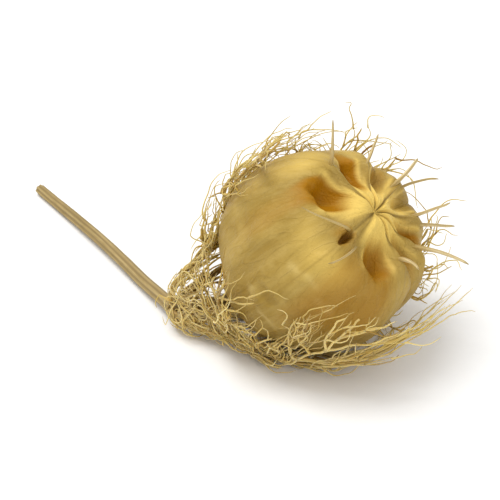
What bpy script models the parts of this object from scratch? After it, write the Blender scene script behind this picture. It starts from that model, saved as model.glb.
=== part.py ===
"""A dried nigella seed pod with its cut stem and its five lacy bracts, lying on a flat surface.

Metres, +Z up. The origin is the middle of the small flat spot that the pod rests on.
The pod's own axis leans up from the surface along +X, and the stem runs back along -X.
"""

import math
import random

import bmesh
import bpy
from mathutils import Vector
from mathutils.bvhtree import BVHTree

MM = 0.001

# Driving dimensions of the seed pod
POD_RADIUS = 14.5 * MM
POD_LEAN = math.radians(48)
REST_DEPTH = 0.4 * MM

# Where each carpel's rib and horn stand round the pod, in degrees from the side nearest the surface
CARPEL_ANGLES = (-15, 17, 52, 91, 133, 180, 267)
CARPELS = len(CARPEL_ANGLES)
CARPEL_SWELL = (-0.016, 0.012, -0.012, 0.020, -0.010, 0.018, 0.0)

# Outlines of the pod as (radius, height above its base), in shares of POD_RADIUS.
# Both run from the base, up the wall, over the shoulder and in to the middle of the star.
RIB_LINE = (
    (0.00, 0.00), (0.36, 0.05), (0.71, 0.26), (0.94, 0.60), (1.00, 0.98), (0.94, 1.36),
    (0.79, 1.67), (0.62, 1.83), (0.49, 1.86), (0.37, 1.85), (0.25, 1.86), (0.12, 1.88), (0.00, 1.86),
)
SUTURE_LINE = (
    (0.00, 0.00), (0.34, 0.06), (0.66, 0.29), (0.88, 0.62), (0.93, 0.98), (0.88, 1.36),
    (0.77, 1.61), (0.64, 1.67), (0.51, 1.58), (0.38, 1.63), (0.26, 1.79), (0.13, 1.90), (0.00, 1.86),
)
RIM_SHARE = 7 / 12

# How the ribs of the wall turn into the crisp folds of the star, where in each carpel its valley lies,
# and how deep that valley is
WALL_RIB_POWER = 0.42
STAR_FOLD_POWER = 1.25
FOLD_START = 0.46
FOLD_END = 0.66
VALLEY_PLACES = (0.5, 0.46, 0.54, 0.5, 0.39, 0.32, 0.67)
VALLEY_SHARES = (0.75, 0.9, 0.5, 0.65, 1.0, 1.0, 1.0)
LEAN_START = 0.40
LEAN_END = 0.60

# The seam down the middle of each star ray, and the one that has sprung open
SEAM_WIDTH = 0.28 * MM
SEAM_DEPTH = 0.45 * MM
SEAM_REACH = 6.5 * MM
OPEN_CARPEL = 6
OPEN_WIDTH = 0.62 * MM
OPEN_DEPTH = 1.8 * MM
OPEN_MIDDLE = 7.5 * MM
OPEN_HALF_LENGTH = 2.0 * MM

# Columns across half a carpel, in shares of its width, closest together at the seam
HALF_COLUMNS = (0.0, 0.045, 0.11, 0.22, 0.36)
WALL_ROWS = 29

# Horns, the dry styles that crown the pod. Some have split into two prongs.
# Each prong has its carpel, how far round from the seam its foot is in degrees, the share of
# POD_RADIUS from the pod's axis to its foot, its length, its lean at the foot and at the tip
# in degrees, and how it bends to one side. The first is the front one's, folded over the shoulder.
PRONGS = (
    (6, -4, 0.36, 7.6 * MM, 40, 122, -1.10),
    (6, 16, 0.36, 6.7 * MM, 68, 102, -0.55),
    (0, 0, 0.48, 4.2 * MM, 20, 58, -0.50),
    (1, 0, 0.48, 7.8 * MM, 44, 60, -0.20),
    (2, 3, 0.47, 5.7 * MM, 44, 69, 0.20),
    (2, -3, 0.47, 6.8 * MM, 79, 81, 0.00),
    (3, 3, 0.47, 5.5 * MM, 41, 87, 0.00),
    (3, -3, 0.47, 6.1 * MM, 66, 65, -0.60),
    (4, 0, 0.48, 4.7 * MM, 44, 85, -0.40),
    (5, 0, 0.57, 6.0 * MM, 36, 53, -0.30),
)
HORN_ROOT = 1.76
HORN_SUNK = 1.7 * MM
HORN_DEEP = 0.85 * MM
HORN_WIDE = 0.50 * MM
HORN_TIP = 0.26 * MM
HORN_STEPS = 7
HORN_SIDES = 6

# Stem: a bent neck under the pod, the node that the bracts grow from, then the plain stem
STEM_LENGTH = 42 * MM
STEM_RADIUS = 1.0 * MM
STEM_END_RADIUS = 0.75 * MM
STEM_SIDES = 12
STEM_RIB_RISE = 0.06
RECEPTACLE_RADIUS = 2.0 * MM
RECEPTACLE_LENGTH = 3.0 * MM
NODE_RADIUS = 1.5 * MM
NODE_AT = 13.0 * MM
NODE_HALF_LENGTH = 1.5 * MM
NECK_BEND = 3.6 * MM
SETTLE_LENGTH = 12 * MM
NECK_TURN = math.radians(-50)
NECK_TURN_LENGTH = 6.0 * MM
STEM_TURN = math.radians(30)
STEM_TURN_LENGTH = 4.5 * MM
STEM_BOW = math.radians(-4)
STEM_ARCH = 0.4 * MM
STEM_RING_GAPS = (1.1 * MM, 2.9 * MM)
COURSE_STEPS = 8
GAP = 0.3 * MM

# Bracts, five finely cut leaves that cup the pod. Each has the middle and half width of its
# sector round the pod in degrees, its length, and how far its side threads reach.
BRACTS = (
    (37, 37, 33 * MM, 12.0 * MM),
    (112, 38, 34 * MM, 12.5 * MM),
    (184, 34, 35 * MM, 12.5 * MM),
    (248, 30, 22 * MM, 10.0 * MM),
    (306, 42, 35 * MM, 14.0 * MM),
)
FIRST_SEED = 40
THREAD_PAIR_SPACING = 4.8 * MM
# Where along the rib the side threads begin and end, in shares of it, and how it rises off the pod
FIRST_PAIR = 0.12
LAST_PAIR = 0.90
RIB_LIFT = 0.03
RIB_STEPS = 12
LIMB_STEPS = 5
PRONG_STEPS = 4
# Forks of a side thread: to which side, at which of its points, and how long as a share of it
FORKS = ((-1, 2, 0.68), (1, 3, 0.52))
# The shell that the bracts follow, as (radius, height above the pod's base) in mm
SHELL = (
    (2.2, -7.0), (4.6, -3.8), (8.0, -0.2), (11.5, 3.2), (14.1, 7.6),
    (15.3, 14.0), (15.0, 20.0), (15.2, 26.0), (16.4, 32.0),
)
SHELL_STEPS = 80
NODE_SHIFT_LENGTH = 14 * MM
RIB_THICK = 0.46 * MM
THREAD_THICK = 0.32 * MM
THREAD_THIN = 0.27 * MM
SECTOR_MARGIN = 0.75 * MM
SURFACE_GAP = 0.03 * MM
POD_GAP = 0.4 * MM
CLEARING_STEP = 0.12 * MM
CLEARING_STEPS = 80
LEAST_SLANT = 0.15
BOW_LIMIT = 0.1 * MM
BOW_ROUNDS = 2
SHARPEST_TURN = math.radians(65)
# Each thread is rolled by this much more than the last, so no two have faces in one plane
ROLL_STEP = 2.4

POD_AXIS = Vector((math.cos(POD_LEAN), 0, math.sin(POD_LEAN)))
POD_DOWN = Vector((math.sin(POD_LEAN), 0, -math.cos(POD_LEAN)))
POD_SIDE = Vector((0, 1, 0))


def mix(a, b, share):
    return a + (b - a) * share


def ease(share):
    """0 to 1, smooth at both ends."""
    x = min(max(share, 0.0), 1.0)
    return x * x * (3 - 2 * x)


def line_at(knots, share):
    """The point at that share of a smooth curve through the knots."""
    last = len(knots) - 1
    place = min(max(share, 0.0), 1.0) * last
    i = min(int(place), last - 1)
    t = place - i
    around = [knots[min(max(i + k, 0), last)] for k in (-1, 0, 1, 2)]
    return tuple(
        0.5 * (2 * b + (c - a) * t + (2 * a - 5 * b + 4 * c - d) * t**2 + (3 * b - a - 3 * c + d) * t**3)
        for a, b, c, d in zip(*around)
    )


# The seed pod's surface

def column_angle(phase):
    """The angle round the pod of a place counted in carpels."""
    carpel = math.floor(phase)
    low, high = CARPEL_ANGLES[carpel % CARPELS], CARPEL_ANGLES[(carpel + 1) % CARPELS]
    turns = 360 * (carpel // CARPELS)
    return math.radians(turns + low + (phase - carpel) * ((high - low) % 360))


def rib_share(share, off, depth):
    """1 on a rib, 0 in a full valley beside it: broad ribs on the wall, crisp folds in the star."""
    broad = (0.5 + 0.5 * math.cos(math.tau * off)) ** WALL_RIB_POWER
    crisp = 1 - depth * (1 - max(0.0, 1 - 2 * off) ** STAR_FOLD_POWER)
    return mix(broad, crisp, ease((share - FOLD_START) / (FOLD_END - FOLD_START)))


def off_rib(share, phase):
    """How far a place is from the nearest rib, in carpels. In the star each valley leans to its own side."""
    first = math.floor(phase)
    part, valley = phase - first, VALLEY_PLACES[first % CARPELS]
    if valley < 0.5:
        leaned = 1 - (1 - part) ** (math.log(0.5) / math.log(1 - valley))
    else:
        leaned = part ** (math.log(0.5) / math.log(valley))
    part = mix(part, leaned, ease((share - LEAN_START) / (LEAN_END - LEAN_START)))
    return min(part, 1 - part)


def seam_depth(carpel, radius, across):
    """How deep the seam down the middle of a star ray cuts, at a distance across it."""
    along = ease(radius / SEAM_WIDTH / 3) * (1 - ease((radius - 0.75 * SEAM_REACH) / (0.25 * SEAM_REACH)))
    depth = SEAM_DEPTH * along * math.exp(-((across / SEAM_WIDTH) ** 2))
    if carpel == OPEN_CARPEL:
        span = max(0.0, 1 - ((radius - OPEN_MIDDLE) / OPEN_HALF_LENGTH) ** 2)
        depth += OPEN_DEPTH * span * math.exp(-((across / OPEN_WIDTH) ** 4))
    return depth


def pod_point(share, phase):
    """(radius, angle, height) on the pod, from its base (share 0) to the middle of its star (share 1)."""
    carpel = round(phase)
    to_rib = rib_share(share, off_rib(share, phase), VALLEY_SHARES[math.floor(phase) % CARPELS])
    rib, suture = line_at(RIB_LINE, share), line_at(SUTURE_LINE, share)
    swell = 1 + CARPEL_SWELL[carpel % CARPELS] * to_rib
    radius = mix(suture[0], rib[0], to_rib) * swell * POD_RADIUS
    height = mix(suture[1], rib[1], to_rib) * POD_RADIUS
    if share > RIM_SHARE:
        across = (column_angle(phase) - column_angle(carpel)) * radius
        height -= seam_depth(carpel % CARPELS, radius, across)
    return radius, column_angle(phase), height


def resting_base():
    """Where the pod's base stands when its lowest point is REST_DEPTH under the origin."""
    places = [pod_point(0.01 * row, 0.05 * column) for row in range(5, 45) for column in range(-5, 26)]
    low = min((from_pod_axis(Vector(), *place) for place in places), key=lambda p: p.z)
    return -low - Vector((0, 0, REST_DEPTH))


def from_pod_axis(base, radius, angle, height):
    """A point round the pod's axis, in the world. Angle 0 is the side nearest the surface."""
    out = POD_DOWN * math.cos(angle) + POD_SIDE * math.sin(angle)
    return base + POD_AXIS * height + out * radius


POD_BASE = resting_base()


# Mesh helpers

def material(name, colour, roughness):
    made = bpy.data.materials.new(name)
    made.use_nodes = True
    shader = made.node_tree.nodes["Principled BSDF"]
    shader.inputs["Base Color"].default_value = (*colour, 1)
    shader.inputs["Roughness"].default_value = roughness
    shader.inputs["Metallic"].default_value = 0.0
    return made


def new_object(name, mesh):
    made = bpy.data.objects.new(name, mesh)
    bpy.context.scene.collection.objects.link(made)
    mesh.shade_smooth()
    return made


def mesh_of_rings(name, rings, bottom=None, top=None):
    """A closed mesh through rings of points. An end is closed by its given point, or by a flat face."""
    bm = bmesh.new()
    rows = [[bm.verts.new(p) for p in ring] for ring in rings]
    count = len(rows[0])
    for low, high in zip(rows, rows[1:]):
        for i in range(count):
            j = (i + 1) % count
            bm.faces.new((low[i], low[j], high[j], high[i]))
    for row, point in ((rows[0], bottom), (rows[-1], top)):
        if point is None:
            bm.faces.new(row)
        else:
            pole = bm.verts.new(point)
            for i in range(count):
                bm.faces.new((row[i], row[(i + 1) % count], pole))
    bmesh.ops.recalc_face_normals(bm, faces=bm.faces)
    if bm.calc_volume(signed=True) < 0:
        bmesh.ops.reverse_faces(bm, faces=bm.faces)
    mesh = bpy.data.meshes.new(name)
    bm.to_mesh(mesh)
    bm.free()
    return mesh


def path_frames(points, first_side):
    """(along, side, up) at each point, carried along the path with no twist."""
    frames = []
    side = Vector(first_side)
    for i in range(len(points)):
        along = (points[min(i + 1, len(points) - 1)] - points[max(i - 1, 0)]).normalized()
        side = (side - along * side.dot(along)).normalized()
        frames.append((along, side, along.cross(side)))
    return frames


def tube(name, points, sizes, sides, first_side=(0.1, 0.3, 1.0), rib_rise=0.0, roll=0.0):
    """A tube along points. sizes holds its half widths along side and up at each point."""
    rings = []
    for point, (wide, deep), (_, side, up) in zip(points, sizes, path_frames(points, first_side)):
        ring = []
        for k in range(sides):
            turn = roll + math.tau * k / sides
            rise = 1 + rib_rise * (-1) ** k
            ring.append(point + side * (wide * rise * math.cos(turn)) + up * (deep * rise * math.sin(turn)))
        rings.append(ring)
    return new_object(name, mesh_of_rings(name, rings))


def keep_largest_shell(mesh):
    """Drops the sealed hollows and loose scraps that crossing threads can leave, and keeps the body."""
    bm = bmesh.new()
    bm.from_mesh(mesh)
    unseen = set(bm.faces)
    shells = []
    while unseen:
        front = [unseen.pop()]
        shell = list(front)
        while front:
            around = {other for edge in front.pop().edges for other in edge.link_faces} & unseen
            unseen -= around
            front.extend(around)
            shell.extend(around)
        shells.append(shell)
    shells.sort(key=len)
    bmesh.ops.delete(bm, geom=[face for shell in shells[:-1] for face in shell], context="FACES")
    bm.to_mesh(mesh)
    bm.free()


def fuse(name, pieces):
    """Joins overlapping pieces into one body, by one Boolean union."""
    whole, others = pieces[0], pieces[1:]
    whole.name = name
    group = bpy.data.collections.new(name + "_pieces")
    for piece in others:
        bpy.context.scene.collection.objects.unlink(piece)
        group.objects.link(piece)
    join = whole.modifiers.new("join", "BOOLEAN")
    join.operation = "UNION"
    join.operand_type = "COLLECTION"
    join.collection = group
    join.solver = "EXACT"
    bpy.context.view_layer.objects.active = whole
    bpy.ops.object.modifier_apply(modifier=join.name)
    for piece in others:
        bpy.data.objects.remove(piece)
    bpy.data.collections.remove(group)
    keep_largest_shell(whole.data)
    return whole


# The pieces

def prong(carpel, turned, foot, length, lean_at_foot, lean_at_tip, side_bend):
    """One horn or half horn, sunk into the pod at its foot, leaning out and curling to one side."""
    angle = column_angle(carpel) + math.radians(turned)
    radius, height = foot * POD_RADIUS, HORN_ROOT * POD_RADIUS
    around = POD_SIDE * math.cos(angle) - POD_DOWN * math.sin(angle)
    step = (length + HORN_SUNK) / HORN_STEPS
    points, sizes = [], []
    for i in range(HORN_STEPS + 1):
        share = i / HORN_STEPS
        points.append(from_pod_axis(POD_BASE, radius, angle, height))
        sizes.append((mix(HORN_WIDE, HORN_TIP, share**0.8), mix(HORN_DEEP, HORN_TIP, share**0.7)))
        lean = math.radians(mix(lean_at_foot, lean_at_tip, ease(share)))
        radius += step * math.sin(lean)
        height += step * math.cos(lean)
        angle += side_bend * share * step / radius
    return tube("prong", points, sizes, HORN_SIDES, first_side=around)


def seed_pod():
    """The ribbed capsule with its crown of horns, cut flat where it rests."""
    columns = HALF_COLUMNS + (0.5,) + tuple(1 - c for c in reversed(HALF_COLUMNS[1:]))
    phases = [carpel + c for carpel in range(CARPELS) for c in columns]
    rings = [
        [from_pod_axis(POD_BASE, *pod_point(row / WALL_ROWS, phase)) for phase in phases]
        for row in range(1, WALL_ROWS)
    ]
    ends = [from_pod_axis(POD_BASE, *pod_point(share, 0)) for share in (0, 1)]
    wall = new_object("wall", mesh_of_rings("seed_pod", rings, *ends))
    pod = fuse("seed_pod", [wall] + [prong(*values) for values in PRONGS])
    below = new_object("below_surface", bpy.data.meshes.new("below_surface"))
    bm = bmesh.new()
    bmesh.ops.create_cube(bm, size=4 * POD_RADIUS)
    bmesh.ops.translate(bm, verts=bm.verts, vec=(0, 0, -2 * POD_RADIUS))
    bm.to_mesh(below.data)
    bm.free()
    below.hide_render = True
    below.display_type = "WIRE"
    cut = pod.modifiers.new("rest_flat", "BOOLEAN")
    cut.operation = "DIFFERENCE"
    cut.object = below
    cut.solver = "EXACT"
    pod.data.materials.append(material("straw_pod", (0.66, 0.46, 0.17), 0.45))
    return pod


def plain_radius(distance):
    """The radius of the neck and of the plain stem, which narrows towards its cut end."""
    return mix(STEM_RADIUS, STEM_END_RADIUS, max(0.0, distance - NODE_AT) / STEM_LENGTH)


def stem_radius(distance):
    """The stem's radius at a distance below the pod: receptacle, neck, swollen node, plain stem."""
    flare = (RECEPTACLE_RADIUS - STEM_RADIUS) * (1 - ease(distance / RECEPTACLE_LENGTH))
    swell = (NODE_RADIUS - STEM_RADIUS) * math.exp(-(((distance - NODE_AT) / NODE_HALF_LENGTH) ** 2))
    return plain_radius(distance) + flare + swell


def past_node(distance):
    """0 on the neck and 1 on the plain stem, where the stem turns at its node."""
    return ease((distance - NODE_AT) / STEM_TURN_LENGTH + 0.5)


def stem_course(distances):
    """Points at those distances below the pod: round the bent neck, then along the surface."""
    point = POD_BASE - POD_AXIS * GAP
    points, done = [], 0.0
    for distance in distances:
        step = (distance - done) / COURSE_STEPS
        for i in range(COURSE_STEPS):
            at = done + (i + 0.5) * step
            pitch = POD_LEAN * (1 - ease(at / NECK_BEND))
            turn = mix(NECK_TURN * ease(at / NECK_TURN_LENGTH), STEM_TURN, past_node(at))
            turn += STEM_BOW * ease((at - NODE_AT) / STEM_LENGTH)
            along = math.cos(pitch) * step
            point = point + Vector((-math.cos(turn) * along, math.sin(turn) * along, -math.sin(pitch) * step))
        done = distance
        past = max(0.0, distance - NODE_AT)
        level = mix(point.z, plain_radius(distance) * (1 + STEM_RIB_RISE), ease(past / SETTLE_LENGTH))
        level += STEM_ARCH * math.sin(math.pi * past / STEM_LENGTH) ** 2
        points.append(Vector((point.x, point.y, level)))
    return points


NODE = stem_course([NODE_AT])[0]


def stem():
    """The stem, from the receptacle under the pod to its cut end."""
    short, long = STEM_RING_GAPS
    near = [short * i for i in range(round((NODE_AT + 3 * NODE_HALF_LENGTH) / short))]
    rest = NODE_AT + STEM_LENGTH - near[-1]
    rings = round(rest / long)
    distances = near + [near[-1] + rest * (i + 1) / rings for i in range(rings)]
    sizes = [(stem_radius(d), stem_radius(d)) for d in distances]
    made = tube("stem", stem_course(distances), sizes, STEM_SIDES, (0, 0, 1), STEM_RIB_RISE)
    made.data.materials.append(material("dry_stem", (0.48, 0.40, 0.20), 0.7))
    return made


def thread(start, heading, bend, sway, length, lift, steps):
    """One thread laid out flat, as (along, across, height) points. It turns by bend, and sways on its way."""
    points = [tuple(start)]
    along, across, height = start
    step = length / steps
    for i in range(steps):
        share = (i + 0.5) / steps
        turn = heading + bend * share + sway * math.sin(math.tau * share)
        along += step * math.cos(turn)
        across += step * math.sin(turn)
        height = max(0.0, height + step * lift)
        points.append((along, across, height))
    return points


def bract_threads(draw, length, reach):
    """The threads of one finely cut bract, laid out flat: a rib, pairs of side threads, and their forks."""
    wave, sway = draw.uniform(-0.2, 0.2), draw.uniform(-0.2, 0.2)
    rib = thread((0, 0, 0), -wave, 2 * wave, sway, length, RIB_LIFT, RIB_STEPS)
    threads = [(rib, RIB_THICK, THREAD_THIN, 4)]
    pairs = round(length / THREAD_PAIR_SPACING)
    for pair in range(pairs):
        for side in (-1, 1):
            share = mix(FIRST_PAIR, LAST_PAIR, (pair + 0.25 * (side + 1)) / pairs)
            foot = rib[round(share * RIB_STEPS)]
            fullness = mix(0.7, 1.0, math.sin(math.pi * min(1.0, share + 0.25)))
            size = reach * fullness * draw.uniform(0.85, 1.15)
            heading = side * draw.uniform(0.7, 1.2)
            bend = -side * draw.uniform(0.3, 1.2)
            sway, lift = draw.uniform(-0.5, 0.5), draw.uniform(-0.02, 0.22)
            limb = thread(foot, heading, bend, sway, size, lift, LIMB_STEPS)
            threads.append((limb, THREAD_THICK, THREAD_THIN, 3))
            for fork, at, share_of_limb in FORKS[: 1 + pair % 2]:
                turn = heading + bend * at / LIMB_STEPS + fork * side * draw.uniform(0.4, 0.8)
                fork_bend = -fork * side * draw.uniform(0.5, 1.3)
                fork_length = size * share_of_limb * draw.uniform(0.85, 1.15)
                lift = draw.uniform(0.0, 0.35)
                prong = thread(limb[at], turn, fork_bend, 0.0, fork_length, lift, PRONG_STEPS)
                threads.append((prong, THREAD_THIN, THREAD_THIN, 3))
    return threads


def shell_tables():
    """Distances along the shell that the bracts follow, and its points, closely spaced."""
    points = [Vector((*line_at(SHELL, k / SHELL_STEPS), 0)) * MM for k in range(SHELL_STEPS + 1)]
    distances = [0.0]
    for a, b in zip(points, points[1:]):
        distances.append(distances[-1] + (b - a).length)
    return distances, points


SHELL_DISTANCES, SHELL_POINTS = shell_tables()
NODE_SHIFT = NODE - from_pod_axis(POD_BASE, 0, 0, SHELL_POINTS[0].y)


def on_shell(distance):
    """(radius, height, outward radius, outward height) of the shell at a distance along it."""
    i = next((k for k, d in enumerate(SHELL_DISTANCES[1:-1]) if d > distance), len(SHELL_DISTANCES) - 2)
    a, b = SHELL_POINTS[i], SHELL_POINTS[i + 1]
    share = (distance - SHELL_DISTANCES[i]) / (SHELL_DISTANCES[i + 1] - SHELL_DISTANCES[i])
    point = a.lerp(b, share)
    along = (b - a).normalized()
    return point.x, point.y, along.y, -along.x


def shape_of(solids):
    """The surface of the pod and stem together, to measure distances from."""
    points, faces = [], []
    for solid in solids:
        first = len(points)
        points += [vertex.co for vertex in solid.data.vertices]
        faces += [[first + i for i in face.vertices] for face in solid.data.polygons]
    return BVHTree.FromPolygons(points, faces)


def kept_clear(point, thick, inside):
    """Moves a thread's point off the pod, and up onto the surface or out along it from under the pod."""
    lowest = thick + SURFACE_GAP
    point.z = max(point.z, lowest)
    for _ in range(CLEARING_STEPS):
        spot, normal, _, _ = inside.find_nearest(point)
        if (point - spot).dot(normal) > thick + POD_GAP:
            break
        if point.z <= lowest:
            level = Vector((normal.x, normal.y, 0))
            normal = level.normalized() if level.length > LEAST_SLANT else Vector((0, 1, 0))
            normal *= math.copysign(1, point.y) if level.length <= LEAST_SLANT else 1
        point = point + normal * CLEARING_STEP
        point.z = max(point.z, lowest)
    if point.z <= lowest:
        point.y = math.copysign(max(abs(point.y), SECTOR_MARGIN), point.y)
    return point


def bract_point(sector, place, thick, inside):
    """A flat place on a bract, carried onto the shell round the pod and kept in the bract's own sector."""
    middle, half = sector
    along, across, height = place
    radius, rise, out_radius, out_rise = on_shell(along)
    room = half * radius - SECTOR_MARGIN
    across = room * math.tanh(across / room)
    angle = middle + across / radius
    point = from_pod_axis(POD_BASE, radius + out_radius * height, angle, rise + out_rise * height)
    point += NODE_SHIFT * (1 - ease(along / NODE_SHIFT_LENGTH))
    return kept_clear(point, thick, inside)


def bowed_round_pod(path, widths, inside):
    """Adds a point wherever a straight stretch between two points would touch the pod."""
    points, wides = [path[0]], [widths[0]]
    for a, b, wide in zip(path, path[1:], widths[1:]):
        straight = (a + b) / 2
        clear = kept_clear(straight.copy(), wide, inside)
        if (clear - straight).length > BOW_LIMIT:
            points.append(clear)
            wides.append(wide)
        points.append(b)
        wides.append(wide)
    return points, wides


def without_kinks(path, widths):
    """Leaves out points that crowd together, and ends a thread where it would fold back on itself."""
    kept = [(path[0], widths[0])]
    for i in range(1, len(path)):
        step = path[i] - kept[-1][0]
        before = kept[-1][0] - kept[-2][0] if len(kept) > 1 else path[1] - path[0]
        if step.length < 2 * widths[i]:
            continue
        if step.angle(before) > SHARPEST_TURN:
            break
        kept.append((path[i], widths[i]))
    return [p for p, _ in kept], [w for _, w in kept]


def bract(number, inside):
    """One bract: a cut leaf wrapped round the pod. The first and last lie either side of the rest spot."""
    middle, half, length, reach = BRACTS[number]
    sector = math.radians(middle), math.radians(half)
    tubes = []
    for places, thick, thin, sides in bract_threads(random.Random(FIRST_SEED + number), length, reach):
        roll = ROLL_STEP * len(tubes)
        last = len(places) - 1
        widths = [mix(thick, thin, i / last) for i in range(last + 1)]
        path = [bract_point(sector, place, wide, inside) for place, wide in zip(places, widths)]
        for _ in range(BOW_ROUNDS):
            path, widths = bowed_round_pod(path, widths, inside)
        path, widths = without_kinks(path, widths)
        if len(path) < 3:
            continue
        tubes.append(tube("thread", path, [(w, w) for w in widths], sides, roll=roll))
    made = fuse(f"bract_{number + 1}", tubes)
    made.data.materials.append(material(f"dry_bract_{number + 1}", (0.58, 0.47, 0.22), 0.75))
    return made


def main():
    for old in list(bpy.data.objects):
        bpy.data.objects.remove(old)
    inside = shape_of([seed_pod(), stem()])
    for number in range(len(BRACTS)):
        bract(number, inside)


main()
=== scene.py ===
"""Looks of a dried nigella seed pod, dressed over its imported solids.

A papery ribbed capsule with a star-shaped top and dry horns, a ribbed straw stem cut short, and five
thread-like bracts that cup the capsule. Metres, +Z up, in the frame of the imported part.
"""

import itertools
import math
import random

import bpy
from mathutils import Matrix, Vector, noise
from mathutils.bvhtree import BVHTree


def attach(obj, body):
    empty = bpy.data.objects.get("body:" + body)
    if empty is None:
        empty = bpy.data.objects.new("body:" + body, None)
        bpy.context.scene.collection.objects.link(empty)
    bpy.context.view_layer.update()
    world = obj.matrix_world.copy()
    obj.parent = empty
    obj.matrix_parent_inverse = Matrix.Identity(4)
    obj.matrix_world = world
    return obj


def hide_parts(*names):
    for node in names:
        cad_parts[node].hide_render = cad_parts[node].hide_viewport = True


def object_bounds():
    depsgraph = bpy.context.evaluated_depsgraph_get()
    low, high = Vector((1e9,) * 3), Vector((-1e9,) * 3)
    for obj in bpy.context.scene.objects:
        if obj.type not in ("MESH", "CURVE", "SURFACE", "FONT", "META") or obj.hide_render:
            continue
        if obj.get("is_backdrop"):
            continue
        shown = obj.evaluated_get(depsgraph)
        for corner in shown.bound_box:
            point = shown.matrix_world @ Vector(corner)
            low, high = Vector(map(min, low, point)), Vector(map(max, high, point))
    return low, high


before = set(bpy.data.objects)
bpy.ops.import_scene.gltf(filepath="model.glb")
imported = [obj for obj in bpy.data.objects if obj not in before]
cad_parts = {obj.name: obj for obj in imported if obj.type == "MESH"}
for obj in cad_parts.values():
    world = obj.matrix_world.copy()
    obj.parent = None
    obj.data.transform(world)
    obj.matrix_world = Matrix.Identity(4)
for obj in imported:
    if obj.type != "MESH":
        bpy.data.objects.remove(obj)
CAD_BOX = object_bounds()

bl_info = {
    "name": "Nigella seed pod looks",
    "version": (1, 0, 0),
    "blender": (4, 5, 0),
    "location": "3D View > Sidebar > Seed pod",
    "description": "Dresses a dried nigella seed pod with its papery wall, horns, stem and lacy bracts",
    "category": "Object",
}

MM = 0.001
BODY = "root"

# Shape of the seed pod, the same as in the solids. Its lines run from the base to the middle of the star,
# as (radius, height) in pod radii. A share is a place along them, a phase counts carpels round the pod
POD_RADIUS = 14.5 * MM
POD_LEAN = math.radians(48)
REST_DEPTH = 0.4 * MM
BELLY_SHARES = [0.01 * row for row in range(5, 45)]
BELLY_PHASES = [0.05 * column for column in range(-5, 26)]
CARPEL_ANGLES = (-15, 17, 52, 91, 133, 180, 267)
CARPELS = len(CARPEL_ANGLES)
CARPEL_SWELL = (-0.016, 0.012, -0.012, 0.020, -0.010, 0.018, 0.0)
RIB_LINE = (
    (0.00, 0.00), (0.36, 0.05), (0.71, 0.26), (0.94, 0.60), (1.00, 0.98), (0.94, 1.36),
    (0.79, 1.67), (0.62, 1.83), (0.49, 1.86), (0.37, 1.85), (0.25, 1.86), (0.12, 1.88), (0.00, 1.86),
)
SUTURE_LINE = (
    (0.00, 0.00), (0.34, 0.06), (0.66, 0.29), (0.88, 0.62), (0.93, 0.98), (0.88, 1.36),
    (0.77, 1.61), (0.64, 1.67), (0.51, 1.58), (0.38, 1.63), (0.26, 1.79), (0.13, 1.90), (0.00, 1.86),
)
RIM_SHARE = 7 / 12
FOLD_START = 0.46
FOLD_END = 0.66
LEAN_START = 0.40
LEAN_END = 0.60
WALL_RIB_POWER = 0.42
STAR_FOLD_POWER = 1.25

# A pair named as a ramp, here and below, is where something starts to grow and how far it takes
STAR_RAMP = (RIM_SHARE - 0.06, 0.08)

# Seams of the star, and the one that has sprung open, with painted shade inside its opening
SEAM_WIDTH = 0.24 * MM
SEAM_DEPTH = 0.26 * MM
SEAM_WANDER = 0.05 * MM
SEAM_WANDER_SCALE = 0.9
SEAM_REACH = 6.5 * MM
SEAM_FADE = 0.25
SEAM_TONE = 0.8
SEAM_TONE_WIDTH = 0.7 * SEAM_WIDTH
SEAM_SHARES = (0.8, 0.65, 0.7, 0.6, 0.6, 0.2, 0.65)
SEAMS_FROM = RIM_SHARE - 0.04
LIP_RISE = 0.05 * MM
OPEN_CARPEL = 6
OPEN_WIDTH = 0.62 * MM
OPEN_END_WIDTH = 0.35
OPEN_RAGGEDNESS = 0.35
OPEN_RAGGED_SCALE = 2.3
OPEN_TONE_GAIN = 1.1
OPEN_SHARPNESS = 4
OPEN_DEPTH = 1.26 * MM
OPEN_MIDDLE = 7.5 * MM
OPEN_HALF_LENGTH = 2.0 * MM
OPEN_LIP_RISE = 0.22 * MM
OPEN_LIP_AT = 0.95 * MM
OPEN_LIP_WIDTH = 0.25 * MM

# Creases of the dry paper: height in mm, fineness round the pod and along its line, place in the noise,
# and whether they have crisp crests
WALL_CREASES = (
    (0.30, 2.2, 4.0, (0.0, 0.0), False),
    (0.20, 1.9, 4.4, (8.0, 2.0), True),
    (0.10, 4.6, 5.0, (3.1, 0.0), True),
    (0.06, 6.5, 11.0, (1.7, 4.0), True),
    (0.03, 17.0, 16.0, (0.0, 7.7), False),
)
STAR_CREASES = (
    (0.12, 5.0, 5.0, (0.0, 0.0), True),
    (0.05, 22.0, 18.0, (5.0, 0.0), False),
)
CREST_SHARPNESS = 3.2
BASE_RAMP = (0.0, 0.08)
CREASE_LIFT_RAMP = (0.40, 0.15)
MIDDLE_RAMP = (0.0, 1.5 * MM)
INNER_STAR_RAMP = (0.70, 0.12)
INNER_CREASES = 0.35
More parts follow.
